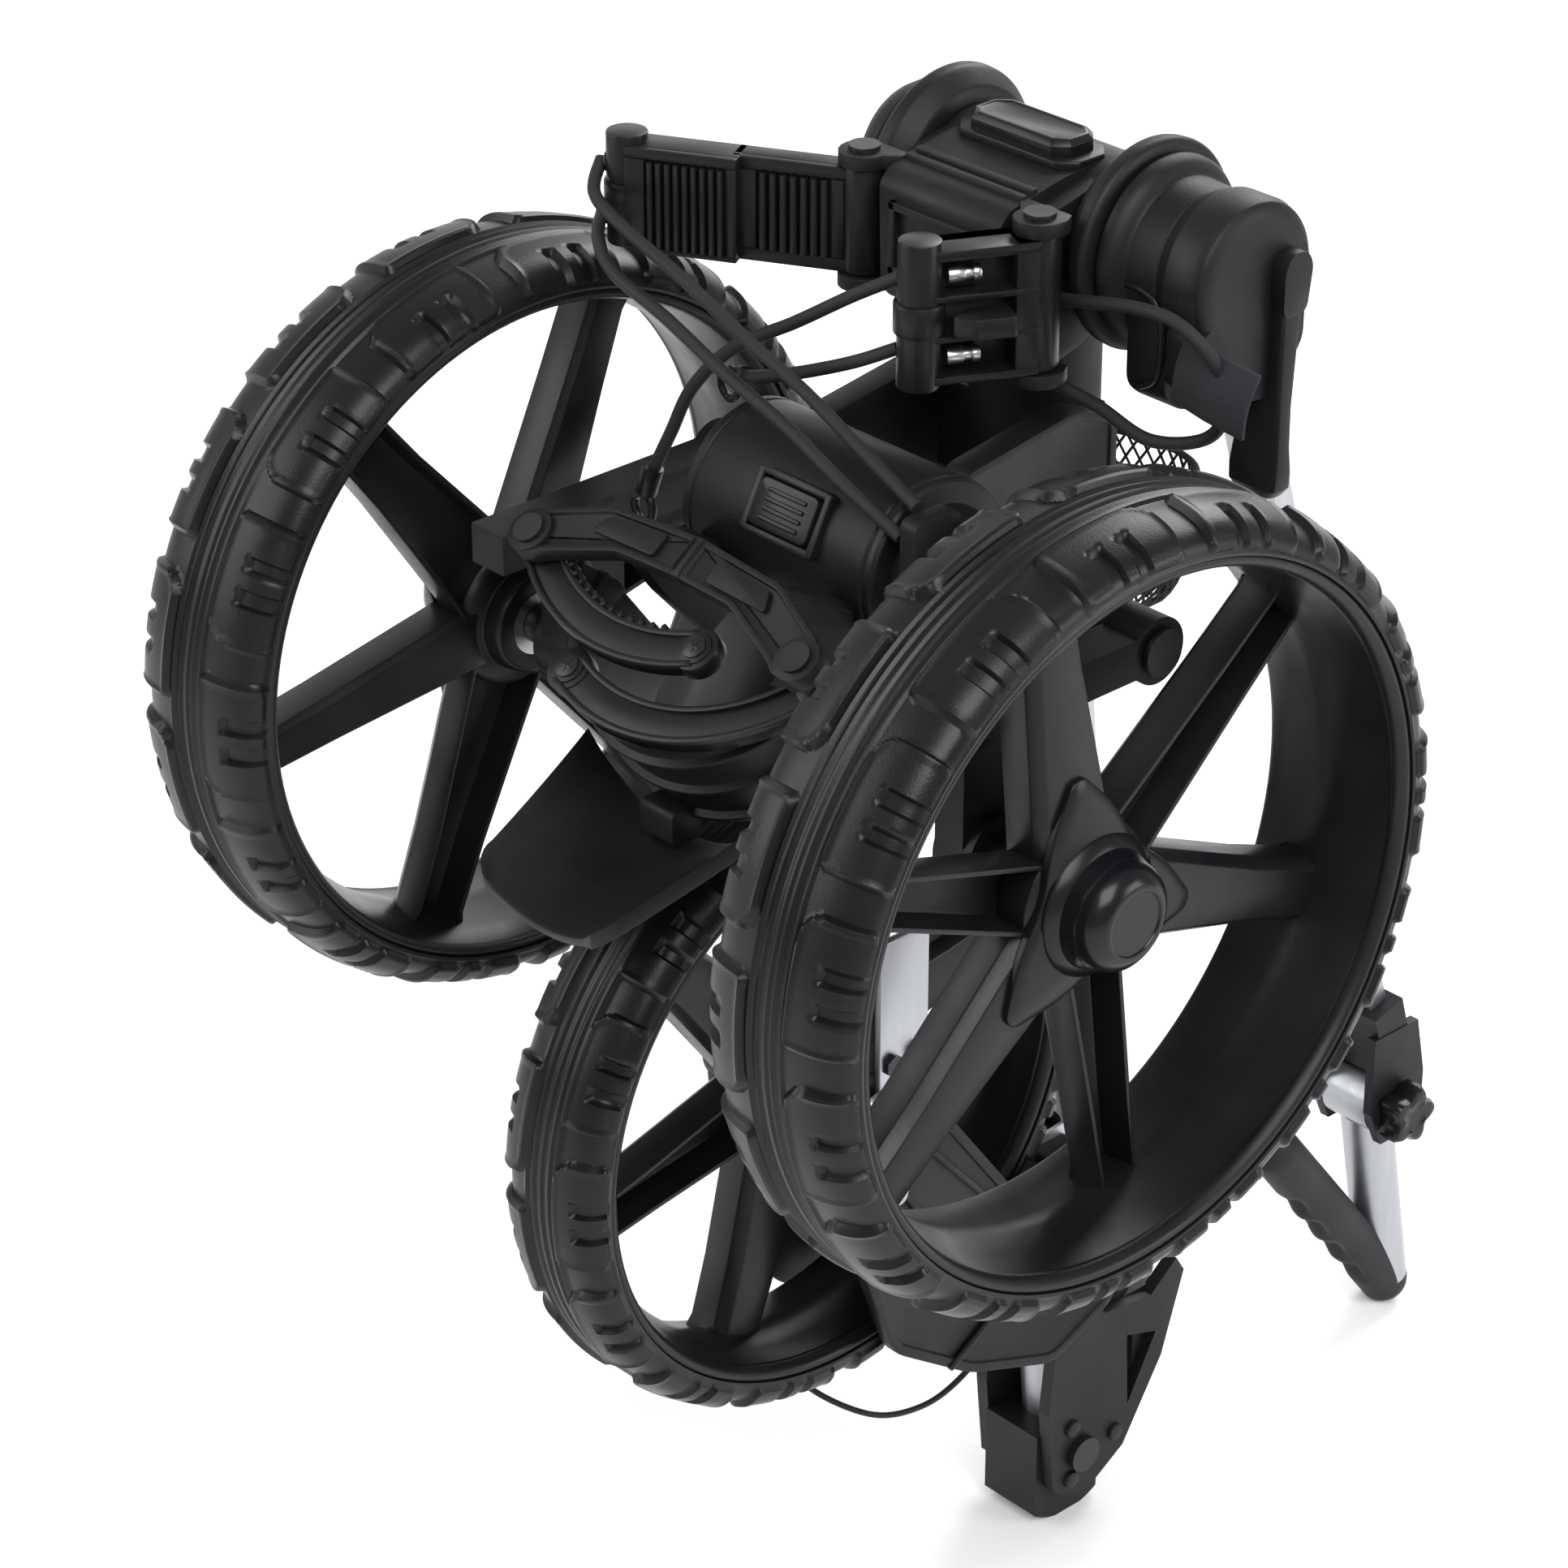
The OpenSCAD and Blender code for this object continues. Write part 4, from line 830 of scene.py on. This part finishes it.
# ---------- chassis ----------
def build_chassis():
    bm = bmesh.new()
    for s in (-1, 1):
        a, b = 32 * s, 38 * s
        panel(bm, rounded([(132, -226), (155, -232), (156, -300), (120, -316), (72, -298), (29, -268),
                           (4, -200), (-1, -154), (10, -134), (30, -134), (62, -176), (96, -222)], 7),
              a, b, "x", 4, 1.4)
        lathe(bm, [(a, 8), (a, 18), (b, 18), (b + s, 16.6), (b + s, 8)], (15, -150), 48, closed=True)
        prism(bm, rounded([(12, -140), (16, -110), (42, -110), (46, -150)], 4), a, b)
        for p, q in (((20, -175), (80, -262)), ((36, -168), (96, -236)), ((60, -290), (140, -240))):
            sweep(bm, [Vector((b, *p)), Vector((b, *q))], 1.6, 10)
    prism(bm, rounded([(132, -298), (154, -298), (154, -232), (132, -232)], 4), -33, 33)
    piece("fork_casting", bm, grained(), "front_arm", ["front_fork"], bevel=0.8)
    bm = bmesh.new()
    for s in (-1, 1):
        prism(bm, rounded([(16, -76), (41, -76), (41, -160), (31, -196), (24, -196), (16, -156)], 3),
              38.1 * s, 42 * s)
    piece("fork_straps", bm, silver(), "front_arm", ["fork_bars"], bevel=0.7)
    bm = bmesh.new()
    for s in (-1, 1):
        lathe(bm, [(46.6 * s, 0), (46.6 * s, 4), (44.6 * s, 9), (42.2 * s, 11), (42.2 * s, 0)],
              (15, -150), 32)
    piece("front_axle_nuts", bm, steel(), "front_arm")
    bm = bmesh.new()
    for s in (-1, 1):
        panel(bm, rounded([(56, 104), (112, 112), (134, 104), (134, 66), (88, 40), (68, 40), (50, 60)],
                          5), 30 * s, 42 * s, "x", 3, 1.2)
        panel(bm, rounded([(16, 60), (22, 50), (-4, 34), (-24, 56), (-37, 74), (-39, 79), (-31, 86),
                           (-8, 76)], 3), 30 * s, 40 * s, "x", 2.6, 1.0)
    piece("housing_cheeks", bm, grained(), "frame", ["housing_bracket"], bevel=0.8)
    bm = bmesh.new()
    lathe(bm, [(-50, 11), (-50, 33), (-49, 34), (-46, 34), (-45.6, 33.3), (-44.8, 33.3), (-44.4, 34),
               (44.4, 34), (44.8, 33.3), (45.6, 33.3), (46, 34), (49, 34), (50.4, 32.6), (51, 25),
               (88.6, 25), (90, 23.6), (90, 11)], (34, 77), 96, closed=True)
    prism(bm, rounded([(4, 84), (26, 84), (26, 110), (4, 110)], 4), 61, 69)
    piece("axle_drum", bm, grained(), "frame", ["axle_housing"], bevel=0.4)
    bm = bmesh.new()
    for s in (-1, 1):
        for y, z in ((150, -398), (150, -372), (176, -386)):
            lathe(bm, [(21.6 * s, 0), (23.4 * s, 0), (23.4 * s, 3.6), (21.6 * s, 4)], (y, z), 20)
    for k in range(6):
        prism(bm, rounded([(192, -366 + 6 * k), (201.6, -367 + 6 * k), (201.6, -364 + 6 * k),
                           (192, -363 + 6 * k)], 0.6), -15.6, 15.6)
    piece("knee_ribs_and_screws", bm, black(), "frame", bevel=0.3)


# ---------- cords, net ----------
CORDS = {
    "shock_cord_left_upper": (
        [(-134.5, 37, 180), (-126, 26, 172), (-104, 20, 167), (-70, 20, 156), (-36, 20, 143),
         (-4, 20, 132), (28, 18, 120), (58.5, 15, 110)],
        CORD, ("upper_arm_left", "frame"), "hung"),
    "shock_cord_left_lower": (
        [(-134.5, 37, 159), (-122, 24, 156), (-100, 12, 152), (-68, 10, 144), (-36, 10, 132),
         (-4, 10, 122), (28, 6, 113), (58.5, 7, 101)],
        CORD, ("upper_arm_left", "frame"), "hung"),
    "shock_cord_middle_upper": (
        [(17, 46, 176), (-3, 42, 164), (-32, 40, 145), (-56, 32, 130), (-70, 24, 112),
         (-78, 20, 92), (-86, 16, 72)],
        CORD, ("upper_arm_right", "frame"), "hung"),
    "shock_cord_middle_lower": (
        [(17, 45, 149), (2, 38, 141), (-22, 36, 130), (-44, 36, 121), (-58, 38, 116)],
        CORD, ("upper_arm_right", "frame"), "hung"),
    "shock_cord_right": (
        [(41, 99, 160), (62, 96, 166), (84, 95, 171), (104, 96, 171), (118, 100, 160),
         (119, 108, 142), (108, 110, 124), (88, 102, 119), (64, 100, 125), (44, 97, 129)],
        CORD, ("upper_arm_right", "frame"), "loose"),
    "brake_cable_run": (
        [(-35, 40, -277.5), (-34, 34, -296), (-20, 34, -314), (0, 52, -328), (2, 80, -337),
         (4, 102, -331), (8, 118, -312), (10, 131.5, -298)],
        CABLE, ("front_arm",), "loose"),
}
CORD_NODES = {"shock_cord_left_upper": ["bungee_left"], "shock_cord_middle_upper": ["bungee_middle"],
              "shock_cord_right": ["bungee_right"], "brake_cable_run": ["brake_cable"]}


def build_cords():
    for name, (points, thick, bodies, lay) in CORDS.items():
        path = spline(points, 10)
        bm = bmesh.new()
        sweep(bm, path, thick / 2, 16)
        obj = piece(name, bm, cord_rubber(), bodies[0] if len(bodies) == 1 else None,
                    CORD_NODES.get(name, ()))
        if len(bodies) == 2:
            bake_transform(obj)
    bm = bmesh.new()
    for a, b in (((-84.4, 17, 77), (-87, 15.4, 66)), ((-55.4, 37.6, 117), (-61, 38.6, 114.6))):
        rod(bm, a, b, 4.2, 16)
    for c in ((-88, 15, 60), (-65, 38, 111)):
        turns = [radians(-200 + 290 * i / 20) for i in range(21)]
        ring = [Vector((c[0] + 5 * cos(t), c[1], c[2] + 6 * sin(t))) for t in turns]
        sweep(bm, ring, 1.7, 10)
    piece("cord_hooks", bm, black(), "frame", bevel=0.3)


def build_net():
    bm = bmesh.new()

    def at(u, v):
        k = sqrt(max(0.02, 1 - (0.96 * v) ** 3))
        return Vector((28.6 * k * cos(u), 191 + 13.4 * k * sin(u), 57 - 62 * v))
    for i in range(26):
        for turn in (-1, 1):
            sweep(bm, [at(tau * i / 26 + turn * 1.5 * k / 14, k / 14) for k in range(15)], 0.6, 6)
    hem = [at(tau * i / 40, 0) for i in range(41)]
    sweep(bm, hem, 1.4, 8)
    piece("net_bag", bm, woven(), "frame", ["net_pouch"])


# ---------- studio ----------
def build_studio():
    scene = bpy.context.scene
    mesh = bpy.data.meshes.new("studio_floor")
    bends = [radians(9 * i) for i in range(11)]
    rows = [(-3.0, 0.0)] + [(1.6 + 1.0 * sin(t), 1.0 - 1.0 * cos(t)) for t in bends] + [(2.6, 4)]
    way, side = Vector((-0.734, 0.679, 0)), Vector((0.679, 0.734, 0))
    verts = [way * a + side * s + Vector((0, 0, b)) for a, b in rows for s in (-5, 5)]
    mesh.from_pydata(verts, [], [(2 * i, 2 * i + 1, 2 * i + 3, 2 * i + 2)
                                 for i in range(len(rows) - 1)])
    mesh.polygons.foreach_set("use_smooth", [True] * len(mesh.polygons))
    floor = bpy.data.objects.new("studio_floor", mesh)
    mat = bpy.data.materials.new("studio_white")
    mat.use_nodes = True
    mat.node_tree.nodes["Principled BSDF"].inputs["Base Color"].default_value = (0.95, 0.95, 0.955, 1)
    mat.node_tree.nodes["Principled BSDF"].inputs["Roughness"].default_value = 0.6
    mesh.materials.append(mat)
    scene.collection.objects.link(floor)
    world = bpy.data.worlds.new("studio")
    world.use_nodes = True
    world.node_tree.nodes["Background"].inputs[0].default_value = (1, 1, 1, 1)
    world.node_tree.nodes["Background"].inputs[1].default_value = 0.42
    scene.world = world
    for name, at, size, power in (("key", (1.6, -0.9, 2.2), 1.6, 58),
                                  ("fill", (-1.3, -1.6, 1.3), 1.6, 26),
                                  ("back", (-0.6, 1.9, 1.9), 1.4, 40),
                                  ("side", (2.0, 1.2, 0.9), 1.0, 18)):
        light = bpy.data.lights.new(name, "AREA")
        light.energy, light.size = power, size
        lamp = bpy.data.objects.new(name, light)
        lamp.location = at
        lamp.rotation_euler = (Vector((0, 0, 0.3)) - Vector(at)).to_track_quat("-Z", "Y").to_euler()
        scene.collection.objects.link(lamp)
    camera = bpy.data.objects.new("camera", bpy.data.cameras.new("camera"))
    camera.data.lens, camera.data.sensor_width = 111.8, 36
    right = Vector((0.679, 0.734, 0))
    down = Vector((0.349, -0.323, -0.880))
    ahead = Vector((-0.646, 0.598, -0.476))
    turn = Matrix((right, -down, -ahead)).transposed().to_4x4()
    camera.matrix_world = Matrix.Translation((1.165, -1.190, 1.258)) @ turn
    scene.collection.objects.link(camera)
    scene.camera = camera
    scene.render.resolution_x = scene.render.resolution_y = 1024
    scene.view_settings.view_transform = "Standard"


# ---------- add-on ----------
class CartColours(bpy.types.PropertyGroup):
    """Base colours of the cart's three main materials."""
    casing: bpy.props.FloatVectorProperty(name="Casing",
                                          description="Moulded casings, brackets and rims",
                                          default=(0.006, 0.0063, 0.0076), size=3, subtype="COLOR",
                                          min=0, max=1)
    tube: bpy.props.FloatVectorProperty(name="Tube", description="Anodised tubes and straps",
                                        default=(0.42, 0.43, 0.455), size=3, subtype="COLOR", min=0,
                                        max=1)
    rubber: bpy.props.FloatVectorProperty(name="Rubber", description="Tyres and pads",
                                          default=(0.005, 0.0053, 0.0064), size=3, subtype="COLOR",
                                          min=0, max=1)
    blur: bpy.props.FloatProperty(name="Softening", description="Width of the softened CAD edges",
                                  default=0.0007, min=0, max=0.002, unit="LENGTH", subtype="DISTANCE")


class CART_OT_finish_frame(bpy.types.Operator):
    """Softens and paints every CAD node."""
    bl_idname = "cart.finish_frame"
    bl_label = "Finish CAD parts"

    def execute(self, context):
        paint_frame()
        return {"FINISHED"}


class CART_OT_tyres(bpy.types.Operator):
    """Builds the three treaded tyres."""
    bl_idname = "cart.tyres"
    bl_label = "Tyres"

    def execute(self, context):
        build_tyres()
        return {"FINISHED"}


class CART_OT_rims(bpy.types.Operator):
    """Builds the three spoked rims and the caps."""
    bl_idname = "cart.rims"
    bl_label = "Rims"

    def execute(self, context):
        build_rims()
        return {"FINISHED"}


class CART_OT_console(bpy.types.Operator):
    """Builds the console, its button, dome, housing and lever."""
    bl_idname = "cart.console"
    bl_label = "Console"

    def execute(self, context):
        build_console()
        build_lever()
        return {"FINISHED"}


class CART_OT_handle(bpy.types.Operator):
    """Builds the handle's collars, knob and grip."""
    bl_idname = "cart.handle"
    bl_label = "Handle"

    def execute(self, context):
        build_handle()
        return {"FINISHED"}


class CART_OT_bag_arms(bpy.types.Operator):
    """Builds both upper bag arms."""
    bl_idname = "cart.bag_arms"
    bl_label = "Bag arms"

    def execute(self, context):
        build_left_arm()
        build_right_arm()
        return {"FINISHED"}


class CART_OT_bag_base(bpy.types.Operator):
    """Builds the lower arms, bracket, cup and scoop."""
    bl_idname = "cart.bag_base"
    bl_label = "Lower bag bracket"

    def execute(self, context):
        build_lower_arms()
        build_lower_bracket()
        return {"FINISHED"}


class CART_OT_chassis(bpy.types.Operator):
    """Builds the fork, housing and knee details."""
    bl_idname = "cart.chassis"
    bl_label = "Chassis"

    def execute(self, context):
        build_chassis()
        return {"FINISHED"}


class CART_OT_soft(bpy.types.Operator):
    """Builds the elastic cords, the brake cable and the net bag."""
    bl_idname = "cart.soft"
    bl_label = "Cords and net"

    def execute(self, context):
        build_cords()
        build_net()
        return {"FINISHED"}


class CART_OT_studio(bpy.types.Operator):
    """Adds the floor, lights and camera."""
    bl_idname = "cart.studio"
    bl_label = "Studio"

    def execute(self, context):
        build_studio()
        return {"FINISHED"}


OPERATORS = [
    CART_OT_finish_frame,
    CART_OT_tyres,
    CART_OT_rims,
    CART_OT_console,
    CART_OT_handle,
    CART_OT_bag_arms,
    CART_OT_bag_base,
    CART_OT_chassis,
    CART_OT_soft,
    CART_OT_studio,
]


class CART_PT_build(bpy.types.Panel):
    """Buttons and colours for building the cart."""
    bl_label = "Folded push cart"
    bl_space_type = "VIEW_3D"
    bl_region_type = "UI"
    bl_category = "Cart"

    def draw(self, context):
        for name in ("casing", "tube", "rubber", "blur"):
            self.layout.prop(context.scene.cart_colours, name)
        for one in OPERATORS:
            self.layout.operator(one.bl_idname)


CLASSES = [CartColours, *OPERATORS, CART_PT_build]


def register():
    for one in CLASSES:
        bpy.utils.register_class(one)
    bpy.types.Scene.cart_colours = bpy.props.PointerProperty(type=CartColours)


def unregister():
    del bpy.types.Scene.cart_colours
    for one in reversed(CLASSES):
        bpy.utils.unregister_class(one)


def main():
    register()
    for one in OPERATORS:
        getattr(bpy.ops.cart, one.bl_idname.split(".")[1])()


if __name__ == "__main__":
    main()
